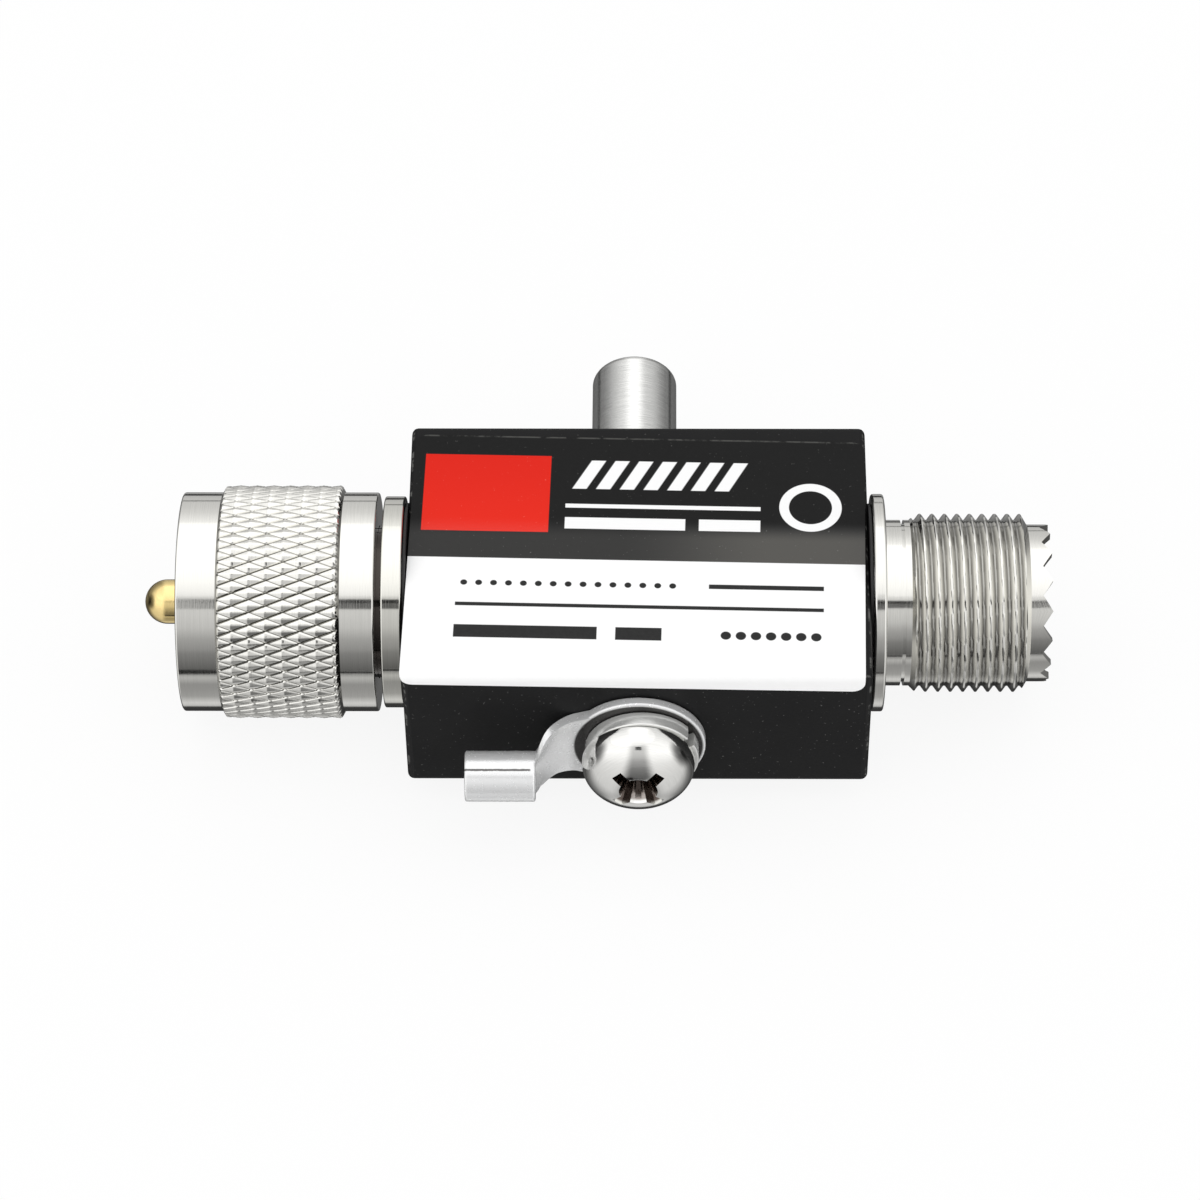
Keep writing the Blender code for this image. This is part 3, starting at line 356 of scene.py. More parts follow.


# Painted shade at the bottom of the screw's recess, by how far a point lies under the crown
def recessShade(metal):
    sizes = screwSizes
    x, y, z = metal.split(metal.place)
    radius = metal.length(x - screwFrame.translation.x, z - screwFrame.translation.z) / mm
    share = metal.calc("POWER", metal.calc("MINIMUM", radius / sizes["head"], 1.0), 1 / sizes["fullness"])
    rise = metal.calc("SQRT", metal.largest(1 - share * share, 0.0))
    crown = sizes["seat"] + sizes["rim"] + (sizes["height"] - sizes["rim"]) * rise
    under = crown + (y - screwFrame.translation.y) / mm
    inside = metal.band(under, 0.3, sizes["depth"] + 0.2, 0.15) * (1 - metal.step(radius, *sizes["recessShadeReach"]))
    return inside * (0.55 + 0.4 * metal.noise(2200, 3))


lugSizes = {
    "thickness": 0.9, "back": 0.05, "ring": 5.85, "hole": 2.7, "bend": 5.35, "barrelStart": 8.9,
    "barrelLength": 6.1, "barrel": 2.2, "joint": 1.0, "rise": 2.0, "root": 7.1, "waist": 6.2,
    "rootCurl": 1, "curl": 190, "curlGrowth": 5.5, "riseGrowth": 1.7, "seam": 0.40, "seamWidth": 0.09,
    "edge": 0.18, "sectionSteps": 24, "loftSteps": 40, "segments": 144, "barrelSegments": 96,
}


def tinPlate():
    sizes = lugSizes
    tin = Finish("tinPlate", Metallic=0.45)
    x, y, z = tin.split(tin.place)
    grain = tin.noise(2600, 4, 0.7)
    cloud = tin.noise(380, 3)
    across = (x - screwFrame.translation.x) / mm
    up = (z - screwFrame.translation.z) / mm
    front = (screwFrame.translation.y - y) / mm
    # painted shade darkens the sheet's front almost to black in a ring around the washer
    washerShade = 1 - tin.step(tin.length(across, up), sizes["ring"] - 0.35, sizes["ring"] - 0.12)
    washerShade = washerShade * tin.step(front, 0.75, 0.9)
    # the rolled sheet's seam along the barrel
    centre = sizes["back"] + sizes["rise"] + sizes["barrel"]
    around = tin.calc("ARCTAN2", front - centre, up) + (grain - 0.5) * 0.06
    halfSeam = sizes["seamWidth"] / 2
    seam = tin.band(around, sizes["seam"] - halfSeam, sizes["seam"] + halfSeam, 0.02)
    seam = seam * (1 - tin.step(across, -sizes["barrelStart"] - 0.5, -sizes["barrelStart"] - 0.3))
    bright = tin.blend(cloud, rgb(0.84, 0.845, 0.85), rgb(0.91, 0.912, 0.912))
    shadedBesideWasher = tin.blend(washerShade * 0.97, bright, rgb(0.010, 0.008, 0.007))
    tin.feed("Base Color", tin.blend(seam * 0.9, shadedBesideWasher, rgb(0.05, 0.045, 0.04)))
    tin.feed("Roughness", 0.20 + 0.12 * grain)
    tin.bump(cloud * 2, 0.000004)
    return tin.material


def goldPlate():
    gold = Finish("goldPlate", Metallic=1.0)
    marks = gold.noise(1.0, 3, vector=gold.stretch(gold.flat, 14, 1, 1))
    gold.feed("Base Color", gold.blend(marks, rgb(0.88, 0.66, 0.27), rgb(0.96, 0.77, 0.38)))
    gold.feed("Roughness", 0.08 + 0.08 * gold.noise(900, 3))
    gold.bump(marks, 0.000004)
    return gold.material


def plainFinish(name, first, second, scale, rough, metallic, bumpHeight):
    plain = Finish(name, Metallic=metallic)
    grain = plain.noise(scale, 4, 0.6)
    plain.feed("Base Color", plain.blend(grain, rgb(*first), rgb(*second)))
    plain.feed("Roughness", rough + 0.12 * (plain.noise(scale * 0.3) - 0.5))
    plain.bump(grain, bumpHeight)
    return plain.material


# The print's fields are in millimetres from the middle of the block: left, front, right, back.
# A row of dots is left, right, middle, pitch and radius.
labelSizes = {
    "thickness": 0.12, "gap": 0.05, "cornerRadius": 1.1, "backMargin": 1.65, "frontLap": 1.4,
    "leftMargin": 0.15, "rightMargin": 0.35, "tilt": -1.3, "bendSteps": 8, "panelBack": -1.5,
    "red": (-19.01, 1.54, -7.83, 10.34), "slats": (-6.1, 6.6, 8.7, 9.9), "slatPitch": 2.1, "slatLean": 0.5,
    "slat": (0.06, 0.66), "ringPlace": (15.2, 4.9), "ring": (1.9, 2.75),
    "paleBars": [(-6.4, 4.4, 10.8, 4.85), (-6.4, 2.0, 4.2, 3.3), (5.4, 2.0, 10.8, 3.3)],
    "darkBars": [
        (6.4, -4.55, 16.4, -4.05), (-15.6, -6.9, 16.4, -6.5), (-15.6, -10.4, -3.2, -9.0),
        (-1.6, -10.4, 2.4, -9.0),
    ],
    "dotRows": [(-15.6, 3.9, -4.3, 1.3, 0.3), (7.3, 16.4, -9.7, 1.3, 0.45)],
}


def labelPrint():
    sizes = labelSizes
    film = Finish("labelPrint", Specular_IOR_Level=0.08, Coat_Roughness=0.2)
    x, y = film.split(film.flat)[:2]
    soft = 0.03
    grain = film.noise(2400, 4, 0.7)
    dust = film.step(film.noise(4200, 2, 0.6), 0.70, 0.76)
    scuff = film.step(film.noise(1.0, 3, 0.6, film.stretch(film.place, 300, 2200, 300)), 0.66, 0.74)

    def field(left, front, right, back):
        return film.band(x, left, right, soft) * film.band(y, front, back, soft)

    def dots(left, right, middle, pitch, radius):
        across = (film.calc("FRACT", (x - left) / pitch) - 0.5) * pitch
        reach = film.length(across, y - middle)
        return (1 - film.step(reach, radius - soft, radius + soft)) * film.band(x, left, right, 0.001)

    black = film.blend(grain, grey(0.0080), grey(0.0125))
    # beside the panel, most of all at the right, the black is lightened toward brown as a painted sheen, and
    # the same mask gives the print a clear coat
    panel = 1 - film.step(y, sizes["panelBack"] - soft, sizes["panelBack"] + soft)
    paintedSheenAndCoat = (1 - film.step(y, 0.9, 3.3)) * (1 - panel) * (0.4 + 0.6 * film.step(x, -2, 12))
    black = film.blend(paintedSheenAndCoat * paintedSheenAndCoat, black, rgb(0.036, 0.033, 0.026))
    black = film.blend(dust * 0.3, black, rgb(0.25, 0.25, 0.24))
    white = film.blend(grain, grey(0.93), grey(0.96))
    ink = film.blend(grain, grey(0.018), grey(0.035))
    red = film.blend(film.step(y, 1.5, 10.5), rgb(0.76, 0.022, 0.010), rgb(0.70, 0.017, 0.008))
    red = film.blend(dust * 0.4, red, rgb(0.9, 0.25, 0.2))

    # white shapes on the black: a row of slanted blocks above three bars, and a ring at the right
    left, front, right, back = sizes["slats"]
    lean = x - (y - front) * sizes["slatLean"]
    slats = film.band(film.calc("FRACT", (lean - left - 0.1) / sizes["slatPitch"]), *sizes["slat"], soft)
    slats = slats * film.band(lean, left, right, soft) * film.band(y, front, back, soft)
    fromRing = film.length(x - sizes["ringPlace"][0], y - sizes["ringPlace"][1])
    ring = film.band(fromRing, *sizes["ring"], soft)
    pale = film.largest(slats, ring, *[field(*bar) for bar in sizes["paleBars"]])
    # dark shapes on the white panel: four bars of unlike length and two rows of dots
    shapes = [field(*bar) for bar in sizes["darkBars"]] + [dots(*row) for row in sizes["dotRows"]]
    dark = film.largest(*shapes)

    colour = film.blend(pale, black, grey(0.90))
    colour = film.blend(field(*sizes["red"]), colour, red)
    colour = film.blend(panel, colour, film.blend(dark, white, ink))
    # the film's back edge is worn pale in places
    backEdge = blockDepth / 2 - sizes["backMargin"]
    patches = film.step(film.noise(700, 4, 0.7), 0.40, 0.58)
    worn = film.step(y, backEdge - 0.22, backEdge - 0.1) * patches
    colour = film.blend(worn * 0.8, colour, rgb(0.085, 0.085, 0.08))
    film.feed("Base Color", colour)
    film.feed("Roughness", 0.34 + 0.1 * grain + 0.1 * scuff)
    film.feed("Coat Weight", paintedSheenAndCoat)
    film.bump(film.noise(1500, 4, 0.65), 0.000012)
    return film.material


# A number as the third value of a corner rounds it
def rounded(corners, steps=4):
    points = []
    hold = 0.03  # an extra point this far beyond each arc keeps the flat beside it level
    for index, corner in enumerate(corners):
        here = Vector(corner[:2])
        if len(corner) == 2:
            points.append(tuple(here))
            continue
        before = (Vector(corners[index - 1][:2]) - here).normalized()
        after = (Vector(corners[(index + 1) % len(corners)][:2]) - here).normalized()
        half = before.angle(after) / 2
        radius = corner[2]
        reach = radius / math.tan(half)
        centre = here + (before + after).normalized() * radius / math.sin(half)
        first = here + before * reach - centre
        last = here + after * reach - centre
        sweep = first.angle(last)
        points.append(tuple(here + before * (reach + hold)))
        for number in range(steps + 1):
            share = number / steps
            near = first * math.sin((1 - share) * sweep)
            far = last * math.sin(share * sweep)
            points.append(tuple(centre + (near + far) / math.sin(sweep)))
        points.append(tuple(here + after * (reach + hold)))
    return points


# The places that pairs of size names stand for: along, radius and, for a round corner, its own radius
def places(sizes, *pairs):
    known = {"axis": 0, **sizes}
    return [tuple(known[key] for key in pair.split()) for pair in pairs]


# A rectangle with all four corners rounded, as an outline
def roundedBox(near, far, inner, outer, edge, steps):
    return rounded([(near, inner, edge), (near, outer, edge), (far, outer, edge), (far, inner, edge)], steps)


# Points at even steps between two ends, the ends among them
def rows(start, end, radius, spacing):
    count = max(1, math.ceil(abs(end - start) / spacing - 0.001))
    return [(start + (end - start) * number / count, radius) for number in range(count + 1)]


# Turns an outline of (along, radius) about X; u is the way along the outline in millimetres
def turned(name, outline, segments, closed=True, staggered=False, gap=0.0, gapTurn=0.0):
    nearest = 0.0001
    points = [outline[0]]
    for point in outline[1:]:
        if math.dist(point, points[-1]) > nearest:
            points.append(point)
    if closed and math.dist(points[0], points[-1]) < nearest:
        points.pop()
    whole = gap == 0
    columns = segments if whole else segments + 1
    verts = []
    for row, (along, radius) in enumerate(points):
        shift = 0.5 if staggered and row % 2 else 0.0
        for column in range(columns):
            angle = (fullTurn - gap) * (column + shift) / segments + gap / 2 + gapTurn
            verts.append((along, radius * math.sin(angle), radius * math.cos(angle)))
    lengths = [0.0]
    ring = points + points[:1]
    for near, far in zip(ring, ring[1:]):
        lengths.append(lengths[-1] + math.dist(near, far))
    turnLength = 40  # v over a whole turn
    faces = []
    corners = []
    for row in range(len(points) if closed else len(points) - 1):
        after = (row + 1) % len(points)
        shift = 0.5 if staggered and row % 2 else 0.0
        shiftAfter = 0.5 if staggered and after % 2 else 0.0
        for column in range(segments):
            one = (row, column, lengths[row], shift)
            two = (row, column + 1, lengths[row], shift)
            three = (after, column + 1, lengths[row + 1], shiftAfter)
            four = (after, column, lengths[row + 1], shiftAfter)
            if shift == shiftAfter:
                made = [(one, two, three, four)]
            elif shift:
                made = [(one, two, three), (one, three, four)]
            else:
                made = [(one, two, four), (two, three, four)]
            for face in made:
                faces.append([corner[0] * columns + corner[1] % columns for corner in face])
                for corner in face:
                    corners.append((corner[2], (corner[1] + corner[3]) / segments * turnLength))
    if not whole:
        for column in (0, segments):
            faces.append([row * columns + column for row in range(len(points))])
            corners.extend((lengths[row], 0.0) for row in range(len(points)))
    mesh = bpy.data.meshes.new(name)
    mesh.from_pydata(verts, [], faces)
    layer = mesh.uv_layers.new(name="flat")
    layer.data.foreach_set("uv", [value for corner in corners for value in corner])
    bm = bmesh.new()
    bm.from_mesh(mesh)
    bpy.data.meshes.remove(mesh)
    bmesh.ops.remove_doubles(bm, verts=bm.verts, dist=nearest / 2)
    bmesh.ops.recalc_face_normals(bm, faces=bm.faces)
    return fromBmesh(name, bm)


def fromBmesh(name, bm):
    mesh = bpy.data.meshes.new(name)
    bm.to_mesh(mesh)
    bm.free()
    return placed(name, mesh)


def placed(name, data):
    made = bpy.data.objects.new(name, data)
    bpy.context.scene.collection.objects.link(made)
    return made


def solidBox(name, low, high):
    bm = bmesh.new()
    bmesh.ops.create_cube(bm, size=1)
    for vert in bm.verts:
        vert.co = Vector(high[i] if vert.co[i] > 0 else low[i] for i in range(3))
    return fromBmesh(name, bm)


def cutThread(piece, finishName, sizes, start, end, edge, side=1.0):
    shape(piece, thread, finishName, {
        "Start": start, "End": end, "Pitch": sizes["pitch"], "Edge": edge, "Depth": sizes["threadDepth"],
        "Flat": sizes["flat"], "Side": side,
    })


# Joins loops of vertices, one after another, into a closed skin
def skin(bm, loops):
    bm.faces.new(loops[0])
    bm.faces.new(loops[-1])
    for near, far in zip(loops, loops[1:]):
        for index in range(len(near)):
            after = (index + 1) % len(near)
            bm.faces.new((near[index], near[after], far[after], far[index]))
    bmesh.ops.recalc_face_normals(bm, faces=bm.faces)


def cut(target, tool, operation="DIFFERENCE"):
    boolean = target.modifiers.new(tool.name, "BOOLEAN")
    boolean.operation = operation
    boolean.solver = "EXACT"
    boolean.object = tool
    return tool


# Bakes what a made object shows into a plain mesh at its place, and sets it on its body
def settle(name, made, place, body, slotName, node, finishName=None, tools=(), sharp=35, weighted=False):
    made.data.shade_smooth()
    if weighted:
        made.data.set_sharp_from_angle(angle=math.radians(60))
        even = made.modifiers.new("even shading", "WEIGHTED_NORMAL")
        even.keep_sharp = True
        even.weight = 100
    graph = bpy.context.evaluated_depsgraph_get()
    mesh = bpy.data.meshes.new_from_object(
        made.evaluated_get(graph), preserve_all_data_layers=True, depsgraph=graph
    )
    for tool in tools:
        bpy.data.objects.remove(tool)
    bpy.data.objects.remove(made)
    mesh.name = name
    mesh.transform(place @ Matrix.Scale(mm, 4))
    if not weighted:
        mesh.shade_smooth()
        mesh.set_sharp_from_angle(angle=math.radians(sharp))
    mesh.materials.clear()
    mesh.materials.append(finishes[finishName or slotName])
    piece = placed(name, mesh)
    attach(piece, body)
    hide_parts(node)


print("finishes")
finishes = {
    "black_paint": blackPaint(blockHigh.x, blockHigh.y, blockHigh.z),
    "label_print": labelPrint(),
    "black_rubber": plainFinish(
        "blackRubber", (0.008, 0.008, 0.008), (0.018, 0.018, 0.018), 1800, 0.6, 0.0, 0.00001
    ),
    "nickel": platedMetal("nickel", (0.80, 0.79, 0.735), 0.07, 0.14, shadeMask=neckGapShade),
    "screw_nickel": platedMetal(
        "screwNickel", (0.84, 0.835, 0.81), 0.09, 0.1, shadeMask=recessShade, shadeMaskColour=(0.13, 0.09, 0.075)
    ),
    "thread": platedMetal("threadNickel", (0.83, 0.82, 0.78), 0.09, 0.2, 0.6, 0.35),
    "knurled_nickel": platedMetal("knurledNickel", (0.84, 0.83, 0.79), 0.08, 0.12, 0.75, 0.65),
    "turned_nickel": platedMetal("turnedNickel", (0.88, 0.88, 0.86), 0.2, 0.8),
    "tin_plate": tinPlate(),
    "spring_steel": platedMetal("springSteel", (0.86, 0.86, 0.84), 0.2, 0.3, metallic=0.6),
    "gold_plate": goldPlate(),
    "brass": plainFinish("brass", (0.66, 0.48, 0.20), (0.76, 0.58, 0.28), 1200, 0.25, 1.0, 0.000004),
    "electrode_metal": plainFinish(
        "electrodeMetal", (0.5, 0.49, 0.47), (0.62, 0.61, 0.59), 1500, 0.3, 1.0, 0.000004
    ),
    "ceramic": plainFinish("ceramic", (0.76, 0.75, 0.72), (0.84, 0.83, 0.80), 900, 0.35, 0.0, 0.000006),
    "ptfe": plainFinish("ptfe", (0.78, 0.78, 0.76), (0.86, 0.86, 0.84), 700, 0.45, 0.0, 0.000008),
}
thread = threadTree()
knurl = knurlTree()
teeth = teethTree()

print("block")
blockSizes = {
    "edge": 0.6, "edgeSteps": 5, "mouth": 5.56, "mouthDepth": 5.06, "lineBore": 4.6, "capHole": 3.56,
    "screwHole": 2.51, "screwHoleDepth": 7.25, "segments": 128,
}


def blockHole(name, outline, place, turn):
    hole = turned(name, outline, blockSizes["segments"], closed=False)
    hole.matrix_world = Matrix.Translation(place) @ turn.to_3x3().to_4x4()
    return hole


def makeBlock():
    sizes = blockSizes
    half = blockLength / 2
    block = solidBox("block", (-half, -blockDepth / 2, 0), (half, blockDepth / 2, blockHeight))
    bevel = block.modifiers.new("edges", "BEVEL")
    bevel.width = sizes["edge"]
    bevel.segments = sizes["edgeSteps"]
    floor = half - sizes["mouthDepth"]
    bore = [
        (-half - 1, 0), (-half - 1, sizes["mouth"]), (-floor, sizes["mouth"]), (-floor, sizes["lineBore"]),
        (floor, sizes["lineBore"]), (floor, sizes["mouth"]), (half + 1, sizes["mouth"]), (half + 1, 0),
    ]
    lineHole = blockHole("lineBore", bore, (0, 0, blockHeight / 2), Matrix.Identity(4))
    radius = sizes["capHole"]
    outside = blockDepth / 2 + 1
    capPlace = (capFrame.translation.x / mm, 0, blockHeight / 2)
    capHole = blockHole("capHole", [(0, 0), (0, radius), (outside, radius), (outside, 0)], capPlace, capFrame)
    radius = sizes["screwHole"]
    deep = -sizes["screwHoleDepth"]
    hole = [(deep - 1, 0), (deep, radius), (1, radius), (1, 0)]
    screwHole = blockHole("screwHole", hole, screwFrame.translation / mm, screwFrame)
    tools = [cut(block, tool) for tool in (lineHole, capHole, screwHole)]
    settle("block", block, Matrix.Identity(4), "block", "black_paint", "housing", tools=tools, weighted=True)


makeBlock()

print("label")


def makeLabel():
    sizes = labelSizes
    width = blockLength - sizes["leftMargin"] - sizes["rightMargin"]
    middle = (sizes["leftMargin"] - sizes["rightMargin"]) / 2
    edge = blockSizes["edge"]
    bendRadius = edge + sizes["gap"]
    bendLength = bendRadius * math.pi / 2
    bendStart = blockDepth / 2 - edge
    back = -(blockDepth / 2 - sizes["backMargin"])
    front = bendStart + bendLength + sizes["frontLap"] - edge
    corner = sizes["cornerRadius"]
    outline = roundedBox(-width / 2, width / 2, back, front, corner, 6)
    bm = bmesh.new()
    bm.faces.new([bm.verts.new((*point, 0)) for point in outline])
    layer = bm.loops.layers.uv.new("flat")
    turn = Matrix.Rotation(math.radians(-sizes["tilt"]), 3, "Z")
    bmesh.ops.rotate(bm, verts=bm.verts, cent=(0, 0, 0), matrix=turn)
    for number in range(sizes["bendSteps"] + 1):
        place = bendStart + bendLength * number / sizes["bendSteps"]
        bmesh.ops.bisect_plane(
            bm, geom=bm.verts[:] + bm.edges[:] + bm.faces[:], plane_co=(0, place, 0), plane_no=(0, 1, 0)
        )
    unturn = Matrix.Rotation(math.radians(sizes["tilt"]), 2)
    for face in bm.faces:
        for loop in face.loops:
            flat = unturn @ loop.vert.co.xy
            loop[layer].uv = (flat.x, -flat.y)
    # the sheet lies on the top, goes round the edge and then down the front
    slight = 0.00001
    for vert in bm.verts:
        along = vert.co.y
        if along <= bendStart + slight:
            vert.co = (vert.co.x, -along, blockHeight + sizes["gap"])
        elif along <= bendStart + bendLength + slight:
            angle = (along - bendStart) / bendRadius
            vert.co.y = -bendStart - bendRadius * math.sin(angle)
            vert.co.z = blockHeight - edge + bendRadius * math.cos(angle)
        else:
            vert.co.y = -bendStart - bendRadius
            vert.co.z = blockHeight - edge - (along - bendStart - bendLength)
        vert.co.x += middle
    for face in bm.faces:
        face.normal_update()
    if sum(face.normal.z * face.calc_area() for face in bm.faces) < 0:
        bmesh.ops.reverse_faces(bm, faces=bm.faces)
    label = fromBmesh("labelSheet", bm)
    film = label.modifiers.new("film", "SOLIDIFY")
    film.thickness = sizes["thickness"]
    film.offset = 1
    settle("labelFilm", label, Matrix.Identity(4), "block", "label_print", "label", sharp=40)


makeLabel()

print("gaskets")
gasketSizes = {"radius": 8.8, "hole": 5.56, "near": 20.3, "far": 20.55, "edge": 0.05, "segments": 160}


def makeGasket(end, side):
    sizes = {**gasketSizes, "near": side * gasketSizes["near"], "far": side * gasketSizes["far"]}
    outline = rounded(places(sizes, "near hole", "near radius edge", "far radius edge", "far hole"), 2)
    gasket = turned("gasketTurned", outline, sizes["segments"])
    settle(end + "Gasket", gasket, lineFrame, "block", "black_rubber", end + "_gasket")


makeGasket("plug", -1)
makeGasket("socket", 1)

print("plug")
plugSizes = {
    "noseFront": -35.45, "noseBack": -30.95, "nose": 6.2, "noseBore": 5.0, "noseTeeth": 0.5, "neck": 6.7,
    "groove": 6.0, "grooveFront": -27.31, "grooveBack": -26.19, "flangeFront": -22.4, "flange": 9.38,
    "edge": 0.14, "seat": -20.6, "spigot": 5.5, "end": -15.25, "bore": 4.6, "insulatorSeat": -26.6,
    "teeth": 16, "segments": 192,
}


def makePlugShell():
    sizes = plugSizes
    outline = rounded(places(
        sizes, "noseFront nose", "noseBack nose", "noseBack neck", "grooveFront neck", "grooveFront groove",
        "grooveBack groove", "grooveBack neck", "flangeFront neck", "flangeFront flange edge",
        "seat flange edge", "seat spigot", "end spigot", "end bore", "insulatorSeat bore",
        "insulatorSeat noseBore", "noseFront noseBore",
    ))
    shell = turned("plugShellTurned", outline, sizes["segments"])
    shape(shell, teeth, "nickel",
          {"End": sizes["noseFront"], "Depth": sizes["noseTeeth"], "Count": sizes["teeth"], "Inward": 1.0})
    settle("plugShell", shell, lineFrame, "block", "nickel", "plug_shell")


makePlugShell()

ringSizes = {
    "front": -40.25, "back": -22.95, "band": 9.72, "edge": 0.16, "knurlStart": -36.75, "knurlEnd": -25.95,
    "knurl": 10.35, "chamfer": 0.35, "knurlCount": 57, "knurlSlope": 0.386, "knurlDepth": 0.36,
    "knurlGroove": 0.1, "knurlFine": 0.1, "divisions": 10, "bore": 7.5, "mouthChamfer": 0.6,
    "threadEnd": -34.25, "relief": 8.2, "wallFront": -26.15, "hole": 6.8, "pitch": 1.058,
    "threadDepth": 0.5, "flat": 0.1, "hold": 0.04,
}


def makeCouplingRing():
    sizes = ringSizes
    # the rows lie where both families of grooves cross the columns, so that every groove follows the mesh
    segments = sizes["knurlCount"] * sizes["divisions"]
    spacing = fullTurn * sizes["knurl"] / (sizes["knurlSlope"] * segments) / 2
    front, back, band, edge = (sizes[key] for key in ("front", "back", "band", "edge"))
    start, end, hold = (sizes[key] for key in ("knurlStart", "knurlEnd", "hold"))
    outline = [(front, sizes["bore"] + sizes["mouthChamfer"]), (front, band - 1.2)]
    outline += rounded([(front, band - 1), (front, band, edge), (start, band)])[1:-1]
    outline += [(start - hold, band), (start, band)]
    # the knurl's first row needs an odd number here, because every second row is shifted by half a column
    assert len(outline) % 2 == 1
    along = start + spacing
    while along < end - spacing / 2:
        rise = min(along - start, end - along, sizes["chamfer"]) / sizes["chamfer"]
        outline.append((along, band + (sizes["knurl"] - band) * rise))
        along += spacing
    outline += [(end, band)]
    outline += rounded([(end + hold, band), (back, band, edge), (back, band - 1)])[:-1]
    outline += places(sizes, "back hole", "wallFront hole", "wallFront relief", "threadEnd relief")
    outline += rows(sizes["threadEnd"], front + sizes["mouthChamfer"], sizes["bore"], sizes["pitch"] / 8)
    ring = turned("couplingRingTurned", outline, segments, staggered=True)
    shape(ring, knurl, "knurled_nickel", {
        "Start": start, "End": end, "Radius": sizes["knurl"], "Count": float(sizes["knurlCount"]),
        "Slope": sizes["knurlSlope"], "Depth": sizes["knurlDepth"], "Groove": sizes["knurlGroove"],
        "Fine groove": sizes["knurlFine"],
    })
    threadBack = sizes["threadEnd"] - 0.001
    cutThread(ring, "knurled_nickel", sizes, front + 0.2, threadBack, sizes["bore"], side=-1.0)
    settle("couplingRing", ring, lineFrame, "ring", "knurled_nickel", "coupling_ring")


makeCouplingRing()

pinSizes = {
    "tip": -43.8, "radius": 1.98, "nose": 2.0, "noseSteps": 16, "collarFront": -26.6, "collar": 2.7,
    "back": -25.6, "tail": 1.2, "end": -23.1, "segments": 96,
}


def makePin():
    sizes = pinSizes
    outline = []
    for number in range(sizes["noseSteps"] + 1):
        angle = math.pi / 2 * number / sizes["noseSteps"]
        along = sizes["tip"] + sizes["nose"] * (1 - math.cos(angle))
        outline.append((along, sizes["radius"] * math.sin(angle)))
    outline += places(
        sizes, "collarFront radius", "collarFront collar", "back collar", "back tail", "end tail", "end axis"
    )
    pin = turned("plugPinTurned", outline, sizes["segments"], closed=False)
    settle("plugPin", pin, lineFrame, "block", "gold_plate", "plug_pin")


makePin()

insulatorSizes = {
    "plug": (-34.15, -26.65, 2.04, 4.94), "socket": (22.05, 28.3, 2.81, 6.29), "edge": 0.15,
    "segments": 128,
}


def makeInsulator(end):
    sizes = insulatorSizes
    insulator = turned("insulatorTurned", roundedBox(*sizes[end], sizes["edge"], 2), sizes["segments"])
    settle(end + "Insulator", insulator, lineFrame, "block", "ptfe", end + "_insulator")


makeInsulator("plug")
makeInsulator("socket")

print("socket")
socketSizes = {
    "start": 15.25, "spigot": 5.5, "seat": 20.6, "flange": 9.65, "edge": 0.2, "neckStart": 21.7,
    "neck": 7.35, "grooveStart": 23.2, "groove": 7.0, "ribStart": 23.5, "threadStart": 24.0,
    "thread": 7.9, "threadEnd": 34.4, "chamfer": 0.55, "collar": 6.96, "tips": 36.3, "bore": 6.35,
    "boreEnd": 22.0, "lineBore": 4.6, "pitch": 1.108, "threadDepth": 0.54, "flat": 0.14, "teeth": 16,
    "toothDepth": 0.85, "segments": 192,
}


def makeSocketShell():
    sizes = socketSizes
    start, end, edge, collar = (sizes[key] for key in ("threadStart", "threadEnd", "thread", "collar"))
    outline = rounded(places(
        sizes, "start lineBore", "start spigot", "seat spigot", "seat flange edge", "neckStart flange edge",
        "neckStart neck", "grooveStart neck", "grooveStart groove", "ribStart groove", "ribStart neck",
        "threadStart neck",
    ))
    count = math.ceil((end - start) / (sizes["pitch"] / 16))
    for number in range(1, count):
        along = start + (end - start) * number / count
        low = sizes["neck"] + (along - start)
        high = collar + (edge - collar) * (end - along) / sizes["chamfer"]
        outline.append((along, min(edge, low, high)))
    outline += places(
        sizes, "threadEnd collar", "tips collar", "tips bore", "boreEnd bore", "boreEnd lineBore"
    )
    shell = turned("socketShellTurned", outline, sizes["segments"])
    cutThread(shell, "thread", sizes, start + 0.001, end - 0.001, edge)
    shape(shell, teeth, "thread",
          {"End": sizes["tips"], "Depth": sizes["toothDepth"], "Count": sizes["teeth"], "Inward": -1.0})
    settle("socketShell", shell, lineFrame, "block", "nickel", "socket_shell", finishName="thread")


makeSocketShell()

contactSizes = {
    "tail": 15.9, "tailRadius": 1.2, "back": 18.4, "radius": 2.75, "front": 28.6, "bore": 2.05,
    "boreEnd": 20.1, "slot": 0.5, "slotLength": 5.0, "edge": 0.2, "segments": 96,
}


def makeContact():
    sizes = contactSizes
    outline = rounded(places(
        sizes, "tail axis", "tail tailRadius", "back tailRadius", "back radius", "front radius edge",
        "front bore edge", "boreEnd bore", "boreEnd axis",
    ))
    contact = turned("contactTurned", outline, sizes["segments"], closed=False)
    half = sizes["slot"] / 2
    start = sizes["front"] - sizes["slotLength"]
    end = sizes["front"] + 1
    reach = sizes["radius"] + 1
    tools = [
        cut(contact, solidBox("uprightSlot", (start, -half, -reach), (end, half, reach))),
        cut(contact, solidBox("levelSlot", (start, -reach, -half), (end, reach, half))),
    ]
    settle("socketContact", contact, lineFrame, "block", "gold_plate", "socket_contact", tools=tools)


makeContact()

print("cap")
capSizes = {
    "mouth": 5.3, "bore": 2.9, "boreEnd": 12.45, "spigot": 3.5, "seat": 14.3, "radius": 3.85,
    "end": 26.25, "edge": 0.7, "footEdge": 0.15, "pitch": 0.75, "threadDepth": 0.4, "flat": 0.12,
    "segments": 160,
}


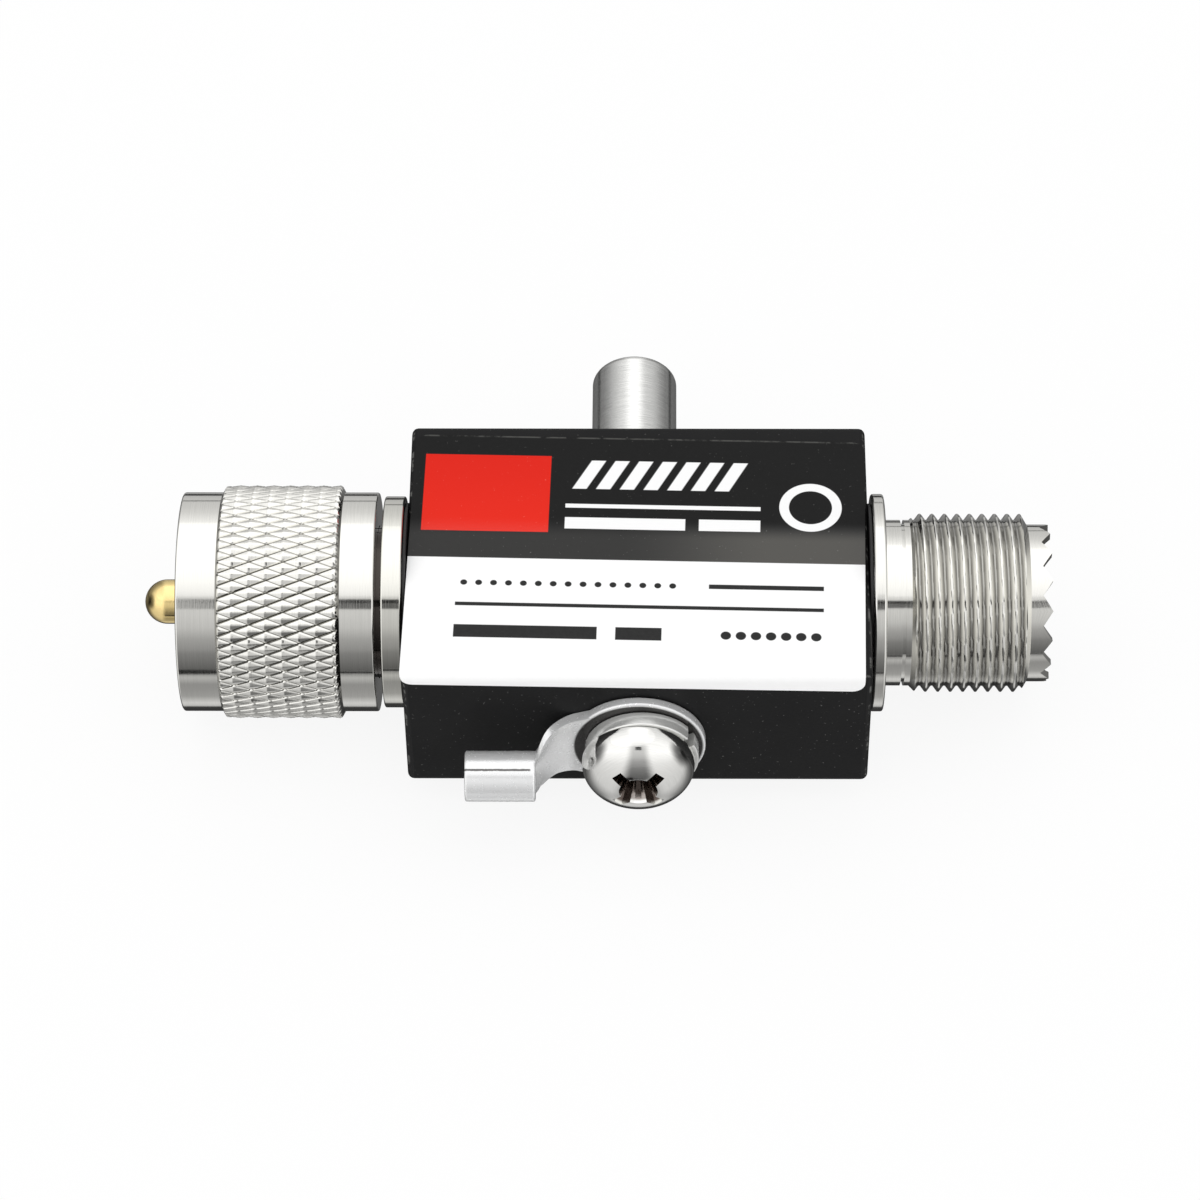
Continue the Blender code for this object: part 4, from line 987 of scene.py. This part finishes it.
def makeCap():
    sizes = capSizes
    outline = places(sizes, "boreEnd axis", "boreEnd bore", "mouth bore")
    outline += rows(sizes["mouth"], sizes["seat"], sizes["spigot"], sizes["pitch"] / 8)
    post = places(sizes, "seat spigot", "seat radius footEdge", "end radius edge", "end axis")
    outline += rounded(post, 8)[1:]
    cap = turned("capTurned", outline, sizes["segments"], closed=False)
    cutThread(cap, "turned_nickel", sizes, sizes["mouth"] + 0.01, sizes["seat"] - 0.4, sizes["spigot"])
    settle("arrestorCap", cap, capFrame, "cap", "turned_nickel", "arrestor_cap")


makeCap()

print("screw and washer")


# One bar of the screw's cross recess, narrower at its bottom
def recessArm(name, turn):
    sizes = screwSizes
    bm = bmesh.new()
    top = sizes["seat"] + sizes["height"] + 1
    bottom = sizes["seat"] + sizes["height"] - sizes["depth"]
    spread = (1 - sizes["taper"]) / sizes["depth"]
    loops = []
    for along in (bottom, top):
        share = sizes["taper"] + spread * (along - bottom)
        reach = sizes["reach"] * share
        half = sizes["width"] / 2 * share
        corners = ((-reach, -half), (reach, -half), (reach, half), (-reach, half))
        loops.append([bm.verts.new((along, *corner)) for corner in corners])
    skin(bm, loops)
    bmesh.ops.rotate(bm, verts=bm.verts, cent=(0, 0, 0), matrix=Matrix.Rotation(turn, 3, "X"))
    return fromBmesh(name, bm)


def makeScrew():
    sizes = screwSizes
    seat = sizes["seat"]
    tip = seat - sizes["length"]
    outline = [(tip, 0), (tip, sizes["shank"] - sizes["tipChamfer"])]
    outline += rows(tip + sizes["tipChamfer"], seat - 0.4, sizes["shank"], sizes["pitch"] / 8)
    outline += [
        (seat, sizes["shank"]), (seat, sizes["head"] - sizes["headChamfer"]), (seat + 0.12, sizes["head"]),
    ]
    for number in range(sizes["crownSteps"] + 1):
        angle = math.pi / 2 * number / sizes["crownSteps"]
        rise = sizes["rim"] + (sizes["height"] - sizes["rim"]) * math.sin(angle)
        outline.append((seat + rise, sizes["head"] * math.cos(angle) ** sizes["fullness"]))
    screw = turned("screwTurned", outline, sizes["segments"], closed=False)
    cutThread(screw, "screw_nickel", sizes, tip + 0.2, seat - 0.5, sizes["shank"])
    turns = {"risingArm": math.pi / 4, "fallingArm": -math.pi / 4}
    tools = [cut(screw, recessArm(name, turn)) for name, turn in turns.items()]
    top = seat + sizes["height"]
    floor = top - sizes["depth"]
    pit = [(floor, 0), (floor, sizes["pitFloor"]), (top, sizes["pit"]), (top + 1, sizes["pit"]), (top + 1, 0)]
    tools.append(cut(screw, turned("pit", pit, 32, closed=False)))
    settle("groundScrew", screw, screwFrame, "screw", "nickel", "ground_screw", finishName="screw_nickel",
           tools=tools)


makeScrew()

washerSizes = {
    "back": 1.0, "front": 2.4, "inner": 2.85, "outer": 4.95, "shift": 0.3, "slot": 12, "slotTurn": 60,
    "edge": 0.12, "segments": 128,
}


def makeWasher():
    sizes = washerSizes
    outline = roundedBox(*(sizes[key] for key in ("back", "front", "inner", "outer", "edge")), 3)
    gap, gapTurn = math.radians(sizes["slot"]), math.radians(sizes["slotTurn"])
    washer = turned("washerTurned", outline, sizes["segments"], gap=gap, gapTurn=gapTurn)
    place = screwFrame @ Matrix.Translation((0, sizes["shift"] * mm, 0))
    settle("lockWasher", washer, place, "washer", "spring_steel", "lock_washer")


makeWasher()

print("earth lug")


# One cross-section of the strip, which curls forwards about its middle line
def lugSection(bm, along, front, width, curl):
    sizes = lugSizes
    radius = width / curl
    half = sizes["thickness"] / 2
    outer = []
    inner = []
    for number in range(sizes["sectionSteps"] + 1):
        angle = curl * (number / sizes["sectionSteps"] - 0.5)
        for rim, reach in ((outer, radius + half), (inner, radius - half)):
            rim.append((front + radius - reach * math.cos(angle), along, reach * math.sin(angle)))
    return [bm.verts.new(point) for point in outer + inner[::-1]]


def makeLug():
    sizes = lugSizes
    back = sizes["back"]
    front = back + sizes["thickness"]
    middle = (back + front) / 2
    edge = sizes["edge"]
    outline = roundedBox(back, front, sizes["hole"], sizes["ring"], edge, 3)
    ring = turned("lugRing", outline, sizes["segments"])
    wall = sizes["barrel"] - sizes["thickness"] / 2
    curl = math.radians(sizes["curl"])
    rootCurl = math.radians(sizes["rootCurl"])
    startWidth = curl * wall
    bm = bmesh.new()
    # the tongue leaves the ring's rim almost along it
    inside = (sizes["hole"] + sizes["bend"]) / 2
    rimWidth = 2 * math.sqrt((sizes["ring"] - edge) ** 2 - inside ** 2)
    sections = [lugSection(bm, -inside, middle, rimWidth, rootCurl)]
    for number in range(sizes["loftSteps"] + 1):
        share = number / sizes["loftSteps"]
        width = sizes["root"] + (sizes["waist"] - sizes["root"]) * min(1, 2 * share)
        if share > 0.5:
            width = sizes["waist"] + (startWidth - sizes["waist"]) * (2 * share - 1)
        along = -(sizes["bend"] + (sizes["barrelStart"] - sizes["bend"]) * share)
        turn = rootCurl + (curl - rootCurl) * share ** sizes["curlGrowth"]
        rise = sizes["rise"] * share ** sizes["riseGrowth"]
        sections.append(lugSection(bm, along, middle + rise, width, turn))
    joint = -sizes["barrelStart"] - sizes["joint"]
    sections.append(lugSection(bm, joint, middle + sizes["rise"], startWidth, curl))
    skin(bm, sections)
    tongue = fromBmesh("tongue", bm)
    bore = sizes["barrel"] - sizes["thickness"]
    start = -sizes["barrelStart"]
    end = start - sizes["barrelLength"]
    corners = [(start, bore), (start, sizes["barrel"], edge), (end, sizes["barrel"], edge), (end, bore, edge)]
    barrel = turned("barrel", rounded(corners, 3), sizes["barrelSegments"])
    place = Matrix.Translation((middle + sizes["rise"] + wall, 0, 0))
    barrel.matrix_world = place @ Matrix.Rotation(math.pi / 2, 4, "Z")
    tools = [cut(ring, tongue, "UNION"), cut(ring, barrel, "UNION")]
    settle("ringTerminal", ring, screwFrame, "lug", "tin_plate", "ring_terminal", tools=tools)


makeLug()

# Inner pieces keep their own solids and take the finishes of their slots
print("inner pieces")
innerFinishes = {
    "retaining_ring": "spring_steel", "line_conductor": "brass",
    "gas_tube_inner_electrode": "electrode_metal", "gas_tube_outer_electrode": "electrode_metal",
    "gas_tube_ceramic": "ceramic", "contact_spring": "spring_steel",
}
for nodeName, finishName in innerFinishes.items():
    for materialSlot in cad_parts[nodeName].material_slots:
        materialSlot.material = finishes[finishName]

print("floor, light and camera")
floorSizes = {"half": 1.5, "shadow": 0.11, "tone": 0.88}
lampSizes = {"size": 1.4, "energy": 0.8, "place": (-0.15, 0.12, 0.75)}
viewSizes = {
    "elevation": 50.994, "yaw": 1.049, "roll": -0.723, "distance": 420.716, "focal": 4735.992,
    "frame": 1200, "right": 3.369, "up": -0.204, "sensor": 36.0,
}


def makeFloor():
    sizes = floorSizes
    half = sizes["half"]
    bm = bmesh.new()
    corners = ((-half, -half), (half, -half), (half, half), (-half, half))
    bm.faces.new([bm.verts.new((*corner, cadBox[0].z)) for corner in corners])
    floor = fromBmesh("floor", bm)
    paper = Finish("palePaper", Roughness=0.9, Specular_IOR_Level=0.0)
    tone = sizes["tone"]
    paper.feed("Base Color", paper.blend(paper.noise(30), grey(tone), grey(tone + 0.02)))
    # the camera sees it near to white with a faint shadow, and the object's gloss doesn't mirror it
    camera, gloss = paper.add("ShaderNodeLightPath", {}, {}, out=(0, 3))
    white = paper.add("ShaderNodeEmission", {}, {"Color": grey(1), "Strength": 1.0})
    shader = Wire(paper, paper.shader.outputs[0])
    seen = paper.add("ShaderNodeMixShader", {}, {0: camera * (1 - sizes["shadow"]), 1: shader, 2: white})
    clear = paper.add("ShaderNodeBsdfTransparent", {}, {})
    both = paper.add("ShaderNodeMixShader", {}, {0: gloss, 1: seen, 2: clear})
    paper.nodeTree.links.new(both.socket, paper.nodeTree.nodes["Material Output"].inputs[0])
    floor.data.materials.append(paper.material)


def makeWorld():
    world = bpy.data.worlds.new("soft tent")
    world.use_nodes = True
    bpy.context.scene.world = world
    tree = Tree(world.node_tree)
    direction = tree.add("ShaderNodeTexCoord", {}, {}, out=0)
    x, y, z = tree.split(direction)
    # 0 is level in front of the object, a quarter overhead, a half level behind it
    turn = tree.calc("FRACT", tree.calc("ARCTAN2", z, 0 - y) / fullTurn + 1)
    # brightness by this angle in degrees, in the middle and at both sides
    stops = [
        (0, 0.33), (11, 0.42), (24, 0.63), (37, 0.71), (52, 0.74), (57, 0.86), (62, 0.98), (72, 1.10),
        (95, 1.26), (130, 1.34), (140, 1.16), (149, 0.97), (159, 0.80), (170, 0.71), (184, 0.66),
        (205, 0.50), (225, 0.18), (240, 0.04), (253, 0.04), (264, 0.05), (268, 0.60), (277, 0.72),
        (285, 0.56), (292, 0.40), (304, 0.35), (314, 0.33), (319, 0.44), (324, 0.54), (334, 0.13),
        (343, 0.18), (355, 0.25), (359.9, 0.33),
    ]
    sideStops = [
        (0, 0.95), (20, 1.15), (40, 1.30), (80, 1.22), (105, 1.05), (130, 0.88), (148, 0.62), (166, 0.34),
        (205, 0.22), (225, 0.14), (250, 0.08), (270, 0.25), (285, 0.50), (300, 0.72), (320, 0.78),
        (340, 0.85), (359.9, 0.95),
    ]
    tent, sides = [
        tree.add("ShaderNodeValToRGB", {"stops": [(angle / 360, tone) for angle, tone in ramp]}, {0: turn})
        for ramp in (stops, sideStops)
    ]
    # the white sheets at both sides leave a greyer strip before the camera
    aside = abs(x)
    wide = tree.blend(tree.step(aside, 0.13, 0.38), tent, sides)
    # thin dark lines: the camera over the front, the edge of the table, and two seams behind
    angle = turn * 360
    seen = 1 - tree.step(aside, 0.072, 0.12)
    camera = tree.largest(0.84 * tree.band(angle, 43.4, 53.8, 0.8), tree.band(angle, 49.2, 53.6, 0.6)) * seen
    edge = tree.band(angle, 328.2, 334.6, 0.5) * tree.band(x, -0.2, -0.086, 0.004)
    thin = tree.band(angle, 330.2, 332.4, 0.4) * (1 - tree.step(aside, 0.09, 0.16))
    nearSeam = 0.75 * tree.band(angle, 182.8, 185.2, 0.8)
    farSeam = 0.93 * tree.band(angle, 201.0, 209.0, 1.0)
    dark = tree.largest(camera, 0.96 * edge, 0.9 * thin, nearSeam, farSeam)
    fall = (1 - 0.88 * tree.step(aside, 0.84, 1.0)) * (1 - dark)
    light = tree.blend(fall, grey(0), wide)
    tree.nodeTree.links.new(light.socket, world.node_tree.nodes["Background"].inputs["Color"])
    world.node_tree.nodes["Background"].inputs["Strength"].default_value = 1.0


def makeLamp():
    lamp = bpy.data.lights.new("soft box", "AREA")
    lamp.shape = "DISK"
    lamp.size = lampSizes["size"]
    lamp.energy = lampSizes["energy"]
    box = placed("soft box", lamp)
    box.location = lampSizes["place"]
    box.rotation_euler = Vector(lampSizes["place"]).to_track_quat("Z", "Y").to_euler()


def makeCamera():
    sizes = viewSizes
    rise = math.radians(sizes["elevation"])
    yaw = math.radians(sizes["yaw"])
    roll = math.radians(sizes["roll"])
    back = Vector((math.sin(yaw) * math.cos(rise), -math.cos(yaw) * math.cos(rise), math.sin(rise)))
    level = Vector((math.cos(yaw), math.sin(yaw), 0))
    upright = back.cross(level)
    right = level * math.cos(roll) + upright * math.sin(roll)
    up = upright * math.cos(roll) - level * math.sin(roll)
    place = (back * sizes["distance"] - right * sizes["right"] - up * sizes["up"]) * mm
    place += Vector((0, 0, lineHeight))
    camera = placed("camera", bpy.data.cameras.new("camera"))
    camera.data.sensor_width = sizes["sensor"]
    camera.data.lens = sizes["sensor"] * sizes["focal"] / sizes["frame"]
    camera.data.clip_start = 0.01
    camera.matrix_world = Matrix.Translation(place) @ Matrix((right, up, back)).transposed().to_4x4()
    bpy.context.scene.camera = camera


makeFloor()
makeWorld()
makeLamp()
makeCamera()
bpy.context.scene.view_settings.view_transform = "Standard"
